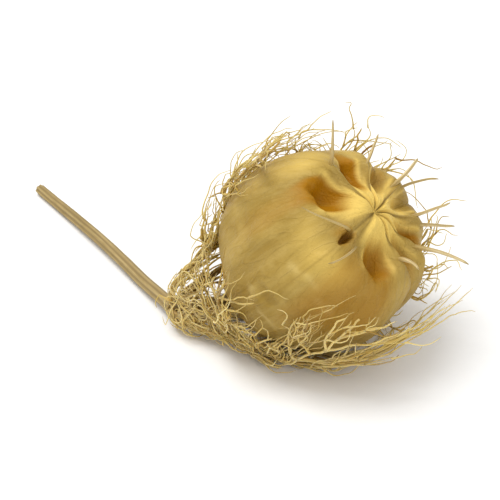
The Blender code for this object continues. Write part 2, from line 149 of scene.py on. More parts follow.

# Soft swellings and dents of the wall: place in carpels and share of the line, half widths in both,
# rise, and how pale the rim of a swelling or how far painted shade browns the middle of a dent
SWELLINGS = (
    (6.11, 0.365, 0.33, 0.086, 0.50 * MM, 0.45),
    (5.99, 0.342, 0.11, 0.018, -0.34 * MM, 0.50),
    (6.02, 0.475, 0.11, 0.050, 0.30 * MM, 0.0),
    (6.62, 0.30, 0.10, 0.110, -0.35 * MM, 0.0),
    (5.74, 0.36, 0.08, 0.120, -0.32 * MM, 0.25),
    (5.56, 0.42, 0.16, 0.070, 0.32 * MM, 0.0),
    (5.42, 0.28, 0.12, 0.080, -0.26 * MM, 0.2),
)
SWELLING_UNEVENNESS = 0.22
SWELLING_SCALES = (6.0, 24.0)
RIM_SCALES = (9.0, 40.0)
SWELLING_RAMP = (0.6, 0.5)
SWELLING_RIM = 0.86
SWELLING_RIM_WIDTH = 0.10
DENT_RAMP = (0.1, 1.1)

# Valleys of the star, one row each: place between its ribs and depth; its hollow's tone, spread, soft
# edge, start along the line and inner end; reach of the pale bulge and share of the ridge beside it.
# The ridges' pale tone is painted highlight, and the long bulges and weak hollows of the third and
# fourth rows paint light onto lobes that lie in shade
(VALLEY_PLACES, VALLEY_SHARES, HOLLOW_TONES, HOLLOW_SPREADS, HOLLOW_EDGES,
 HOLLOW_STARTS, HOLLOW_INNER_ENDS, PETAL_REACHES, RIDGE_SHARES) = zip(
    (0.50, 0.75, 0.45, 0.00, 0.12, 0.50, 0.26, 0.20, 0.5),
    (0.46, 0.90, 0.95, 0.00, 0.12, 0.50, 0.30, 0.26, 0.8),
    (0.54, 0.50, 0.08, 0.00, 0.12, 0.50, 0.34, 0.36, 0.6),
    (0.50, 0.65, 0.40, 0.00, 0.12, 0.50, 0.32, 0.27, 0.8),
    (0.39, 1.00, 1.00, 0.05, 0.09, 0.48, 0.20, 0.19, 1.0),
    (0.32, 1.00, 1.00, 0.04, 0.09, 0.44, 0.22, 0.18, 1.0),
    (0.67, 1.00, 0.85, 0.08, 0.20, 0.50, 0.24, 0.17, 0.7),
)
VALLEY_WIDTH = 0.10
VALLEY_AT = 0.56
VALLEY_LENGTH = 0.17
VALLEY_DEPTH = 0.35 * MM
LOBE_AT = 0.21
LOBE_LENGTH = 0.12
LOBE_RISE = 0.35 * MM
LOBE_SIDE_RAMP = (0.04, 0.14)
LOBE_RAMP = (0.66, 0.06)
RIDGE_OFF = 0.20
RIDGE_WIDTH = 0.10
RIDGE_AT = 0.48
RIDGE_LENGTH = 0.22
RIDGE_RISE = 0.32 * MM

# Tones of the capsule: its hollows, with painted shade beside and round the open seam; pale bulges and
# ridges, partly painted highlight; the painted highlight on the shoulder; and nerves
HOLLOW_SIDES = (0.40, 0.22)
HOLLOW_RIM = 0.90
HOLLOW_TAPER = 0.40
HOLLOW_INNER_FADE = 0.15
HOLLOW_START_FADE = 0.12
WALL_VALLEY_TONE = 0.28
WALL_VALLEY_RAMP = (0.28, 0.14)
SLIT_SHADE = 0.50
SLIT_SHADE_RAMPS = ((6.06, 0.14), (6.75, 0.20))
SLIT_SHADE_SHARE_RAMP = (0.27, 0.14)
SLIT_SHADE_OUT_RAMP = (0.40, 0.30)
# Painted shade round the open seam: strength, offset and width
SLIT_HALO_SHADE = 0.75
SLIT_HALO_SHADE_OFF = 0.3 * MM
SLIT_HALO_SHADE_WIDTH = 1.3 * MM
PETAL_AT = 0.22
PETAL_SIDE_RAMP = (0.02, 0.08)
PETAL_RAMP = (0.62, 0.10)
# Painted highlight along the ridges of the star
RIDGE_HIGHLIGHT = 0.75
RIDGE_HIGHLIGHT_RAMP = (0.0, 0.8)
# Painted highlight on the shoulder below the star: place, width, fade across the rib, strength per half
# carpel
SHOULDER_AT = 0.50
SHOULDER_WIDTH = 0.055
SHOULDER_SIDE_RAMP = (0.12, 0.24)
SHOULDER_HIGHLIGHTS = (0.2, 0.2, 0.3, 0.3, 0.3, 0.3, 0.3, 0.3, 0.5, 0.5, 0.8, 0.5, 0.9, 0.2)
NERVE_WIDTH = 0.16 * MM
NERVE_TONE = 0.35
NERVE_RAMP = (0.03, 0.10)

# Horns: carpel, turn of the foot in degrees, foot's share of the radius, length, lean at foot and tip,
# bend, thickness and dullness
PRONGS = (
    (6, -4, 0.36, 7.6 * MM, 40, 122, -1.10, 0.64, 0.65),
    (6, 16, 0.36, 6.7 * MM, 68, 102, -0.55, 0.68, 0.50),
    (0, 0, 0.48, 4.2 * MM, 20, 58, -0.50, 0.85, 0.10),
    (1, 0, 0.48, 7.8 * MM, 44, 60, -0.20, 1.00, 0.00),
    (2, 3, 0.47, 5.7 * MM, 44, 69, 0.20, 0.85, 0.15),
    (2, -3, 0.47, 6.8 * MM, 79, 81, 0.00, 0.95, 0.20),
    (3, 3, 0.47, 5.5 * MM, 41, 87, 0.00, 1.10, 0.00),
    (3, -3, 0.47, 6.1 * MM, 66, 65, -0.60, 0.80, 0.50),
    (4, 0, 0.48, 4.7 * MM, 44, 85, -0.40, 0.80, 0.40),
    (5, 0, 0.57, 6.0 * MM, 36, 53, -0.30, 0.75, 0.45),
)
HORN_SIDES = 14
HORN_ROOT = 1.76
HORN_SUNK = 1.7 * MM
HORN_DEEP = 0.62 * MM
HORN_WIDE = 0.35 * MM
HORN_TIP = 0.18 * MM
HORN_TAPERS = (0.8, 0.7)
HORN_WAVER = 0.22
HORN_WAVER_SCALE = 3.0
HORN_UNEVENNESS = 0.10
HORN_UNEVEN_SCALE = 6.0
HORN_GROOVE = 0.34
HORN_GROOVE_POWER = 6
HORN_GROOVE_RAMP = (0.0, 0.3)
HORN_END_RAMP = (0.93, 0.07)
HORN_END_NARROWING = 0.55
HORN_END_LENGTH = 0.4
HORN_GRAIN = 8.0

# Stem: its course as in the solids, then its finer rings, ribs and unevenness
STEM_LENGTH = 42 * MM
STEM_RADIUS = 1.0 * MM
STEM_END_RADIUS = 0.75 * MM
STEM_RIB_RISE = 0.06
RECEPTACLE_RADIUS = 2.0 * MM
RECEPTACLE_LENGTH = 3.0 * MM
NODE_RADIUS = 1.5 * MM
NODE_AT = 13.0 * MM
NODE_HALF_LENGTH = 1.5 * MM
NECK_BEND = 3.6 * MM
SETTLE_LENGTH = 12 * MM
NECK_TURN = math.radians(-50)
NECK_TURN_LENGTH = 6.0 * MM
STEM_TURN = math.radians(30)
STEM_TURN_LENGTH = 4.5 * MM
STEM_BOW = math.radians(-4)
STEM_ARCH = 0.4 * MM
COURSE_STEPS = 8
GAP = 0.3 * MM
STEM_RINGS = 260
STEM_SIDES = 54
STEM_GROOVE_POWER = 1.5
STEM_RIB_WANDER = 0.35
STEM_WANDER_SCALE = 0.12
STEM_UNEVENNESS = 0.035
STEM_UNEVEN_SCALE = 0.35
STEM_ROUGHNESS = 0.02 * MM
STEM_ROUGH_SCALES = (6, 0.25)

# Cut end, in rings from its rim inward: share of the radius, how far out in mm, paleness of the pith
CUT_RINGS = ((0.94, 0.05, 0.2), (0.80, -0.06, 0.9), (0.45, -0.10, 1.0), (0.30, -0.45, 0.5))
CUT_RAGGEDNESS = 0.10 * MM
CUT_RAGGED_SCALES = (0.55, 7)
CUT_DEPTH = 0.6

# Bracts: middle and half width of the sector round the pod in degrees, length, reach of side threads;
# long sweeping threads, wisps for each mm, curls by the node and threads across the wall; and how far
# fine threads spread on either side
BRACTS = (
    (37, 37, 33 * MM, 12.0 * MM, 12, 0.18, 30, 0, (0.85, 0.85)),
    (112, 38, 34 * MM, 12.5 * MM, 13, 0.18, 30, 0, (0.85, 0.85)),
    (184, 34, 35 * MM, 12.5 * MM, 16, 0.17, 55, 0, (0.85, 0.50)),
    (248, 30, 22 * MM, 10.0 * MM, 10, 0.20, 90, 0, (0.80, 0.75)),
    (306, 42, 35 * MM, 14.0 * MM, 16, 0.13, 100, 20, (0.42, 0.95)),
)
FIRST_SEED = 40
FINE_SEED = 400
NOISE_SEED = 7
THREAD_PAIR_SPACING = 4.8 * MM
FIRST_PAIR = 0.12
LAST_PAIR = 0.90
RIB_LIFT = 0.03
RIB_STEPS = 12
LIMB_STEPS = 5
PRONG_STEPS = 4
FORKS = ((-1, 2, 0.68), (1, 3, 0.52))
SHELL = (
    (2.2, -7.0), (4.6, -3.8), (8.0, -0.2), (11.5, 3.2), (14.1, 7.6),
    (15.3, 14.0), (15.0, 20.0), (15.2, 26.0), (16.4, 32.0),
)
SHELL_STEPS = 80
NODE_SHIFT_LENGTH = 14 * MM
SECTOR_MARGIN = 0.75 * MM
SURFACE_GAP = 0.03 * MM
CLEARING_STEP = 0.12 * MM
CLEARING_STEPS = 60
LEAST_SLANT = 0.15

# Finer than the solids: half widths and sides of the threads, and how near they may lie to the pod
RIB_HALF = 0.26 * MM
LIMB_HALF = 0.18 * MM
PRONG_HALF = 0.15 * MM
SWEEP_HALF = 0.16 * MM
WISP_HALF = 0.12 * MM
TIP_HALF = 0.05 * MM
RIB_SIDES = 12
LIMB_SIDES = 6
FINE_SIDES = 5
THREAD_GAP = 0.10 * MM
SWEEP_STEPS = 12
WISP_STEPS = 8
SMOOTH_STEPS = 3
LEAST_STEP = 3
SHARPEST_KINK = math.radians(100)
THREAD_SIDE = (0.1, 0.3, 1.0)

# How threads are drawn, as ranges. Rib: wave, sway. Side thread: length, turn, bend, sway, lift.
# Fork: turn, bend, length, lift
RIB_DRAWS = ((-0.2, 0.2), (-0.2, 0.2))
LIMB_DRAWS = ((0.85, 1.15), (0.7, 1.2), (0.3, 1.2), (-0.5, 0.5), (-0.02, 0.22))
PRONG_DRAWS = ((0.4, 0.8), (0.5, 1.3), (0.85, 1.15), (0.0, 0.35))
END_FULLNESS = 0.7
FULLNESS_SHIFT = 0.25

# Sweeping and crossing threads: turn, bend, length, sway, lift, thickness
SWEEP_DRAWS = ((0.1, 1.15), (0.2, 1.3), (0.5, 1.0), (-0.45, 0.45), (-0.04, 0.05), (0.75, 1.1))
SWEEP_FEET = (0, 0, 1, 2, 3)
SWEEP_RETURN = 0.4
CROSS_DRAWS = ((0.55, 1.25), (-1.1, -0.1), (13 * MM, 25 * MM), (-0.25, 0.25), (0.0, 0.16), (0.7, 1.1))
CROSS_FEET = (12 * MM, 26 * MM)
CROSS_SIDE = 1.0 * MM
CROSS_HEIGHT = 1.5 * MM

# Wisps and curls: turn, bend, length, lift, sway, thickness
WISP_DRAWS = ((0.25, 0.9), (-1.0, 0.7), (3.5 * MM, 10.0 * MM), (-0.1, 0.55), (-0.6, 0.6), (0.75, 1.15))
CURL_DRAWS = ((0.4, 1.6), (0.6, 1.6), (3.5 * MM, 8.0 * MM), (-0.1, 0.5), (-0.7, 0.7), (0.85, 1.3))
WISP_FEET = (0.10, 0.97)
CURL_FEET = (0.02, 0.9)
CURL_REACH = 11 * MM
CURL_POWER = 1.6
CURL_SINKING = 0.8

# Where threads meet, and how they wander as they dry: slowly, with small kinks, and each in its own way
FOOT_REACH = 0.9 * MM
FOOT_FLARES = (0.35, 0.9)
FLARE_SHARE = 0.22
TIP_RAMP = (0.9, 0.1)
TIP_NARROWING = 0.5
SHEATH_WIDTH = 3.6
SHEATH_RAMP = (-0.01, 0.10)
SHEATH_FOOT = 0.45
NODE_WEB = 6 * MM
SLOW_WANDER = 4.5 * MM
QUICK_WANDER = 1.7 * MM
QUICK_SHARE = 0.35
OWN_WAVER = 0.7
OWN_WAVER_POINTS = 9
OWN_WAVER_SHIFTS = (10, 60)

# Stage: where the camera looks, the lights' places and sizes, and the floor
AIM = Vector((-11.5, -2.2, 10.6)) * MM
LIGHT_AIM = (0, 0, 0.012)
KEY_LIGHT = ((-0.27, -0.06, 0.66), 0.40)
FILL_LIGHT = ((0.55, -0.35, 0.40), 0.60)
FLOOR_HALF = 2.0
FLOOR_DROP = 0.02 * MM
FLOOR_SHADE = (0.8, 0.8, 0.79)
CLIP_START = 0.01

# The noise that sways threads and horns starts from its own seed, so every run gives the same shapes
noise.seed_set(NOISE_SEED)

POD_AXIS = Vector((math.cos(POD_LEAN), 0, math.sin(POD_LEAN)))
POD_DOWN = Vector((math.sin(POD_LEAN), 0, -math.cos(POD_LEAN)))
POD_SIDE = Vector((0, 1, 0))


def mix(a, b, share):
    return a + (b - a) * share


def ease(share):
    """0 to 1, smooth at both ends."""
    x = min(max(share, 0.0), 1.0)
    return x * x * (3 - 2 * x)


def ramp(x, start, length):
    """0 up to a start, rising smoothly to 1 over a length."""
    return ease((x - start) / length)


def bump(x, width):
    """1 at the middle, falling away on both sides."""
    return math.exp(-((x / width) ** 2))


def noise_at(x, y=0.0, z=0.0):
    """Smooth noise from -1 to 1 at a place. Different places give each piece a noise of its own."""
    return noise.noise(Vector((x, y, z)))


def line_at(knots, share):
    """The point at that share of a smooth curve through the knots."""
    last = len(knots) - 1
    place = min(max(share, 0.0), 1.0) * last
    i = min(int(place), last - 1)
    t = place - i
    around = [knots[min(max(i + k, 0), last)] for k in (-1, 0, 1, 2)]
    return tuple(
        0.5 * (2 * b + (c - a) * t + (2 * a - 5 * b + 4 * c - d) * t**2 + (3 * b - a - 3 * c + d) * t**3)
        for a, b, c, d in zip(*around)
    )


# The seed pod's surface

def column_angle(phase):
    """The angle round the pod of a place counted in carpels."""
    carpel = math.floor(phase)
    low, high = CARPEL_ANGLES[carpel % CARPELS], CARPEL_ANGLES[(carpel + 1) % CARPELS]
    turns = 360 * (carpel // CARPELS)
    return math.radians(turns + low + (phase - carpel) * ((high - low) % 360))


def rib_share(share, off, depth):
    """1 on a keel, 0 in a full valley beside it: broad ribs on the wall, crisp folds in the star."""
    broad = (0.5 + 0.5 * math.cos(math.tau * off)) ** WALL_RIB_POWER
    crisp = 1 - depth * (1 - max(0.0, 1 - 2 * off) ** STAR_FOLD_POWER)
    return mix(broad, crisp, ease((share - FOLD_START) / (FOLD_END - FOLD_START)))


def seam_reach(radius):
    """1 along the seams of the star, fading at their ends."""
    fade = SEAM_FADE * SEAM_REACH
    return ramp(radius, 0, 3 * SEAM_WIDTH) * (1 - ramp(radius, SEAM_REACH - fade, fade))


def open_span(radius):
    """1 at the middle of the seam that has sprung open, 0 at its ends."""
    return max(0.0, 1 - ((radius - OPEN_MIDDLE) / OPEN_HALF_LENGTH) ** 2)


def off_rib(share, phase):
    """How far a place is from the nearest rib, in carpels. In the star each valley leans its own way."""
    first = math.floor(phase)
    part, valley = phase - first, VALLEY_PLACES[first % CARPELS]
    if valley < 0.5:
        leaned = 1 - (1 - part) ** (math.log(0.5) / math.log(1 - valley))
    else:
        leaned = part ** (math.log(0.5) / math.log(valley))
    part = mix(part, leaned, ease((share - LEAN_START) / (LEAN_END - LEAN_START)))
    return min(part, 1 - part)


def pod_place(share, phase):
    """(radius, angle, height, distance across from the nearest keel) on the pod, without seams."""
    carpel = round(phase)
    to_rib = rib_share(share, off_rib(share, phase), VALLEY_SHARES[math.floor(phase) % CARPELS])
    rib, suture = line_at(RIB_LINE, share), line_at(SUTURE_LINE, share)
    swell = 1 + CARPEL_SWELL[carpel % CARPELS] * to_rib
    radius = mix(suture[0], rib[0], to_rib) * swell * POD_RADIUS
    height = mix(suture[1], rib[1], to_rib) * POD_RADIUS
    across = (column_angle(phase) - column_angle(carpel)) * radius
    return radius, column_angle(phase), height, across


def from_pod_axis(base, radius, angle, height):
    """A point round the pod's axis, in the world. Angle 0 is the side nearest the surface."""
    out = POD_DOWN * math.cos(angle) + POD_SIDE * math.sin(angle)
    return base + POD_AXIS * height + out * radius


def resting_base():
    """Where the pod's base stands when its lowest point is REST_DEPTH under the origin."""
    places = [pod_place(share, phase)[:3] for share in BELLY_SHARES for phase in BELLY_PHASES]
    low = min((from_pod_axis(Vector(), *place) for place in places), key=lambda p: p.z)
    return -low - Vector((0, 0, REST_DEPTH))


POD_BASE = resting_base()


def plain_radius(distance):
    """The radius of the neck and of the plain stem, which narrows towards its cut end."""
    return mix(STEM_RADIUS, STEM_END_RADIUS, max(0.0, distance - NODE_AT) / STEM_LENGTH)


def stem_radius(distance):
    """The stem's radius at a distance below the pod: receptacle, neck, swollen node, plain stem."""
    flare = (RECEPTACLE_RADIUS - STEM_RADIUS) * (1 - ease(distance / RECEPTACLE_LENGTH))
    swell = (NODE_RADIUS - STEM_RADIUS) * bump(distance - NODE_AT, NODE_HALF_LENGTH)
    return plain_radius(distance) + flare + swell


def stem_course(distances):
    """Points at those distances below the pod: round the bent neck, then along the surface."""
    point = POD_BASE - POD_AXIS * GAP
    points, done = [], 0.0
    for distance in distances:
        step = (distance - done) / COURSE_STEPS
        for i in range(COURSE_STEPS):
            at = done + (i + 0.5) * step
            pitch = POD_LEAN * (1 - ease(at / NECK_BEND))
            past_node = ease((at - NODE_AT) / STEM_TURN_LENGTH + 0.5)
            turn = mix(NECK_TURN * ease(at / NECK_TURN_LENGTH), STEM_TURN, past_node)
            turn += STEM_BOW * ease((at - NODE_AT) / STEM_LENGTH)
            along = math.cos(pitch) * step
            flat = Vector((-math.cos(turn) * along, math.sin(turn) * along, 0))
            point = point + flat - Vector((0, 0, math.sin(pitch) * step))
        done = distance
        past = max(0.0, distance - NODE_AT)
        level = mix(point.z, plain_radius(distance) * (1 + STEM_RIB_RISE), ease(past / SETTLE_LENGTH))
        level += STEM_ARCH * math.sin(math.pi * past / STEM_LENGTH) ** 2
        points.append(Vector((point.x, point.y, level)))
    return points


NODE = stem_course([NODE_AT])[0]


# Mesh helpers

class Skin:
    """Points, faces and point values of one piece, gathered before its mesh is made."""

    def __init__(self):
        self.points, self.faces, self.values, self.grain = [], [], {}, []

    def add_point(self, point, grain, **values):
        self.points.append(point)
        self.grain.append(grain)
        for name, value in values.items():
            self.values.setdefault(name, []).append(value)
        return len(self.points) - 1

    def add_ring(self, centre, side, up, sides, section, grain_length):
        """Adds a ring of points. section(turn) gives its half widths sideways and up, and point values."""
        ring = []
        for k in range(sides):
            turn = math.tau * k / sides
            wide, deep, values = section(turn)
            point = centre + side * (wide * math.cos(turn)) + up * (deep * math.sin(turn))
            grain = (math.cos(turn), math.sin(turn), grain_length)
            ring.append(self.add_point(point, grain, **values))
        return ring

    def add_rings(self, rings):
        """Joins rings of point numbers into a skin."""
        for low, high in zip(rings, rings[1:]):
            count = len(low)
            for i in range(count):
                j = (i + 1) % count
                self.faces.append((low[i], low[j], high[j], high[i]))

    def add_fan(self, ring, middle, flip=False):
        """Closes a ring of point numbers with a fan to its middle."""
        for i in range(len(ring)):
            a, b = ring[i], ring[(i + 1) % len(ring)]
            self.faces.append((b, a, middle) if flip else (a, b, middle))

    def make(self, name):
        """The finished object, smooth shaded, with its values as point attributes."""
        mesh = bpy.data.meshes.new(name)
        mesh.from_pydata(self.points, [], self.faces)
        grain = mesh.attributes.new("grain", "FLOAT_VECTOR", "POINT")
        grain.data.foreach_set("vector", [x for v in self.grain for x in v])
        for value_name, numbers in self.values.items():
            mesh.attributes.new(value_name, "FLOAT", "POINT").data.foreach_set("value", numbers)
        mesh.validate()
        mesh.shade_smooth()
        made = bpy.data.objects.new(name, mesh)
        bpy.context.scene.collection.objects.link(made)
        return made


def path_frames(points, first_side):
    """(side, up) at each point, carried along the path with no twist."""
    frames = []
    side = Vector(first_side)
    for i in range(len(points)):
        along = (points[min(i + 1, len(points) - 1)] - points[max(i - 1, 0)]).normalized()
        side = (side - along * side.dot(along)).normalized()
        frames.append((side, along.cross(side)))
    return frames


def smooth_path(points, steps):
    """A smooth curve through the points, with that many steps between each two."""
    last = len(points) - 1
    made = []
    for k in range(last * steps + 1):
        made.append(Vector(line_at([tuple(p) for p in points], k / (last * steps))))
    return made


def add_tube(skin, points, shape, sides, first_side, **values):
    """Adds a closed tube. shape(share, turn) gives its half width at a share of its length."""
    rings = []
    last = len(points) - 1
    length = 0.0
    for i, (side, up) in enumerate(path_frames(points, first_side)):
        share = i / last
        length += (points[i] - points[i - 1]).length if i else 0.0

        def section(turn):
            half = shape(share, turn)
            return half, half, {"along": share, **values}

        rings.append(skin.add_ring(points[i], side, up, sides, section, length / MM))
    skin.add_rings(rings)
    foot = skin.add_point(points[0], (0, 0, 0), along=0.0, **values)
    tip_out = (points[-1] - points[-2]).normalized() * shape(1, 0)
    tip = skin.add_point(points[-1] + tip_out, (0, 0, length / MM), along=1.0, **values)
    skin.add_fan(rings[0], foot, flip=True)
    skin.add_fan(rings[-1], tip)


# Material helpers

def fill(tree, node, inputs):
    """Fills a node's inputs with values or with other nodes' outputs."""
    for name, value in inputs.items():
        if isinstance(value, bpy.types.NodeSocket):
            tree.links.new(value, node.inputs[name])
        else:
            node.inputs[name].default_value = value
    return node


def add_node(tree, kind, inputs=None, **settings):
    """Adds a node with its settings and inputs."""
    node = tree.nodes.new(kind)
    for name, value in settings.items():
        setattr(node, name, value)
    return fill(tree, node, inputs or {})


def mathed(tree, operation, a, b):
    """The result of a Math node."""
    return add_node(tree, "ShaderNodeMath", {0: a, 1: b}, operation=operation).outputs[0]


def times(tree, value, strength):
    """A value times a strength, which is left out where it is 1."""
    return value if strength == 1 else mathed(tree, "MULTIPLY", value, strength)


def ranged(tree, value, low, high, to_low=0.0, to_high=1.0):
    """value taken smoothly from one range to another."""
    inputs = {"Value": value, "From Min": low, "From Max": high, "To Min": to_low, "To Max": to_high}
    return add_node(tree, "ShaderNodeMapRange", inputs, interpolation_type="SMOOTHSTEP").outputs["Result"]


def mixed(tree, factor, a, b):
    """Two colours mixed by a factor."""
    a, b = (c if isinstance(c, bpy.types.NodeSocket) else (*c, 1.0) for c in (a, b))
    node = add_node(tree, "ShaderNodeMix", data_type="RGBA", clamp_factor=True)
    return fill(tree, node, {"Factor": factor, 6: a, 7: b}).outputs[2]


def painted(tree, colour, *layers):
    """A colour with others laid over it in turn, each as (mask or point value's name, strength, colour)."""
    for mask, strength, over in layers:
        mask = point_value(tree, mask) if isinstance(mask, str) else mask
        colour = mixed(tree, times(tree, mask, strength), colour, over)
    return colour


def scaled(tree, vector, sizes):
    """A vector times three numbers."""
    return add_node(tree, "ShaderNodeVectorMath", {0: vector, 1: sizes}, operation="MULTIPLY").outputs[0]


def noised(tree, vector, scale, detail=3.0, roughness=0.55, distortion=0.0):
    """Noise from 0 to 1 at a place."""
    inputs = {"Vector": vector, "Scale": scale, "Detail": detail, "Roughness": roughness}
    return add_node(tree, "ShaderNodeTexNoise", {**inputs, "Distortion": distortion}).outputs["Fac"]


def vein_net(tree, grain, sizes, wander_scale=0.8, wander=0.9, vein_width=0.075):
    """A net of thin raised veins: 1 on a vein, 0 between."""
    even = scaled(tree, grain, sizes)
    inputs = {"Vector": even, "Scale": wander_scale, "Detail": 2.0}
    wandered = add_node(tree, "ShaderNodeTexNoise", inputs).outputs["Color"]
    inputs = {0: wandered, 1: (wander, wander, wander), 2: even}
    bent = add_node(tree, "ShaderNodeVectorMath", inputs, operation="MULTIPLY_ADD").outputs[0]
    inputs = {"Vector": bent, "Scale": 1.0}
    edges = add_node(tree, "ShaderNodeTexVoronoi", inputs, feature="DISTANCE_TO_EDGE")
    return ranged(tree, edges.outputs["Distance"], 0.0, vein_width, 1.0, 0.0)


def point_value(tree, name, output="Fac"):
    """A value stored on the piece's points."""
    return add_node(tree, "ShaderNodeAttribute", attribute_name=name).outputs[output]


def grain_of(tree):
    """The direction of growth that is stored on the piece's points."""
    return point_value(tree, "grain", "Vector")


def place(tree):
    """The place on the piece, in mm."""
    coordinates = add_node(tree, "ShaderNodeTexCoord").outputs["Object"]
    return scaled(tree, coordinates, (1 / MM, 1 / MM, 1 / MM))


def use_group(tree, name, build, defaults, inputs):
    """The outputs of a shared node group placed in a material with its own values.

    The group is made at its first use: build gets its tree and inputs, and returns its outputs by name.
    """
    group = bpy.data.node_groups.get(name)
    if group is None:
        group = bpy.data.node_groups.new(name, "ShaderNodeTree")
        for socket_name, default in defaults.items():
            kind = "NodeSocketVector" if default is None else "NodeSocketFloat"
            socket = group.interface.new_socket(socket_name, in_out="INPUT", socket_type=kind)
            if default is not None:
                socket.default_value = default
        results = build(group, add_node(group, "NodeGroupInput").outputs)
        for socket_name in results:
            group.interface.new_socket(socket_name, in_out="OUTPUT", socket_type="NodeSocketFloat")
        add_node(group, "NodeGroupOutput", results)
    return add_node(tree, "ShaderNodeGroup", inputs, node_tree=group).outputs


def build_fibres(tree, given):
    """Masks fine dry fibres that run lengthwise, and gives their height."""
    counts = {"X": given["Around"], "Y": given["Around"], "Z": given["Along"]}
    grain = scaled(tree, given["Grain"], add_node(tree, "ShaderNodeCombineXYZ", counts).outputs[0])
    broad = noised(tree, grain, 1.0, detail=2.0, roughness=0.5, distortion=0.4)
    fine = noised(tree, grain, 3.4, detail=3.0, roughness=0.6, distortion=0.2)
    both = mathed(tree, "ADD", times(tree, broad, 0.6), times(tree, fine, 0.4))
    return {"Mask": ranged(tree, both, 0.38, 0.62), "Height": both}


def fibres(tree, around, along):
    """Lengthwise fibres, so fine round the piece and along it."""
    inputs = {"Grain": grain_of(tree), "Around": around, "Along": along}
    defaults = {"Grain": None, "Around": 12.0, "Along": 0.3}
    return use_group(tree, "lengthwise_fibres", build_fibres, defaults, inputs)


def build_mottle(tree, given):
    """Masks blotches and specks of age on dry plant skin."""
    scales = [mathed(tree, "DIVIDE", 1.0, given[size]) for size in ("Blotch size", "Speck size")]
    blotches = noised(tree, given["Place"], scales[0], detail=4.0, roughness=0.6, distortion=0.6)
    specks = noised(tree, given["Place"], scales[1], detail=2.0, roughness=0.5)
    return {"Blotches": ranged(tree, blotches, 0.36, 0.66), "Specks": ranged(tree, specks, 0.66, 0.78)}


def mottle(tree, blotch_size, speck_size):
    """Blotches and specks of age, of those sizes in mm."""
    inputs = {"Place": place(tree), "Blotch size": blotch_size, "Speck size": speck_size}
    defaults = {"Place": None, "Blotch size": 4.0, "Speck size": 0.5}
    return use_group(tree, "age_mottle", build_mottle, defaults, inputs)


def new_material(name, roughness, specular, subsurface=0.0):
    """A material with its Principled shader."""
    made = bpy.data.materials.new(name)
    made.use_nodes = True
    shader = made.node_tree.nodes["Principled BSDF"]
    values = {"Roughness": roughness, "Specular IOR Level": specular}
    if subsurface:
        values["Subsurface Weight"] = subsurface
        values["Subsurface Radius"] = (1.0, 0.7, 0.25)
        values["Subsurface Scale"] = 1.5 * MM
    fill(made.node_tree, shader, values)
    return made, made.node_tree, shader


def set_bump(tree, shader, strength, distance, *heights):
    """Lets the sum of some heights, each as (height, strength), drive the surface's fine relief."""
    total = times(tree, *heights[0])
    for height in heights[1:]:
        total = mathed(tree, "ADD", total, times(tree, *height))
    inputs = {"Height": total, "Strength": strength, "Distance": distance}
    fill(tree, shader, {"Normal": add_node(tree, "ShaderNodeBump", inputs).outputs["Normal"]})


# Finishes

def capsule_paper(looks):
    """Dry papery wall: straw gold, veined, orange-brown in the hollows of the star, dark in its seams.
    Painted shade browns its dents and darkens the open seam and the wall round it; painted highlights
    lighten the shoulder and the star's ridges.
    """
    made, tree, shader = new_material("capsule_paper", roughness=0.5, specular=0.13)
    spot, grain = place(tree), grain_of(tree)
    age = mottle(tree, 7.0, 0.35)
    veins, fine = fibres(tree, 8.0, 5.0), fibres(tree, 26.0, 22.0)
    net, finer_net = vein_net(tree, grain, (5.0, 5.0, 9.0)), vein_net(tree, grain, (13.0, 13.0, 21.0))
    streaks = noised(tree, scaled(tree, grain, (7.0, 7.0, 2.5)), 1.0, detail=4.0, roughness=0.6)
    hollow = times(tree, point_value(tree, "hollow"), ranged(tree, streaks, 0.30, 0.56, 0.72, 1.0))
    colour = painted(
        tree, mixed(tree, age["Blotches"], looks.wall_deep, looks.wall_gold),
        (veins["Mask"], 0.20, looks.wall_pale),
        (net, 0.13, looks.nerve),
        (finer_net, 0.08, looks.nerve),
        (fine["Mask"], 0.10, looks.wall_deep),
        ("rim", 1, looks.wall_pale),
        # painted shade in the middle of the dents, in the nerve colour
        ("dent_shade", 1, looks.nerve),
        # painted highlight on the shoulder, in the bulges' colour
        ("shoulder_highlight", 0.8, looks.petal_and_highlight),
        # pale bulges of the star, partly painted light, and painted highlight on its ridges
        ("petal_and_highlight", 1, looks.petal_and_highlight),
        # orange-brown hollows, and painted shade beside and round the open seam
        (hollow, 1, looks.hollow),
        ("nerve", 1, looks.nerve),
        ("seam", 1, looks.seam),
        # painted shade inside the open seam
        ("slit", 1, looks.slit),
        (age["Specks"], 0.25, looks.seam),
    )
    rough = ranged(tree, noised(tree, spot, 1.2, detail=4.0), 0.3, 0.7, 0.40, 0.56)
    fill(tree, shader, {"Base Color": colour, "Roughness": rough})
    crinkle = noised(tree, spot, 0.9, detail=5.0, roughness=0.6, distortion=0.8)
    set_bump(tree, shader, 0.7, 0.2 * MM, (crinkle, 1), (veins["Height"], 0.8), (fine["Height"], 0.35),
             (net, 0.3), (finer_net, 0.15))
    return made


def horn_straw(looks):
    """Dry horn: pale straw, browner in its groove and at the tip."""
    made, tree, shader = new_material("horn_straw", roughness=0.5, specular=0.4, subsurface=0.08)
    along, fine = point_value(tree, "along"), fibres(tree, 2.5, 0.5)
    colour = painted(
        tree, mixed(tree, ranged(tree, along, 0.1, 0.55), looks.wall_gold, looks.horn),
        ("dull", 1, looks.wall_gold),
        (fine["Mask"], 0.4, looks.wall_deep),
        ("groove", 0.65, looks.nerve),
        (ranged(tree, along, 0.9, 1.0, 0.0, 0.6), 1, looks.seam),
    )
    fill(tree, shader, {"Base Color": colour})
    set_bump(tree, shader, 0.5, 0.12 * MM, (fine["Height"], 1))
    return made


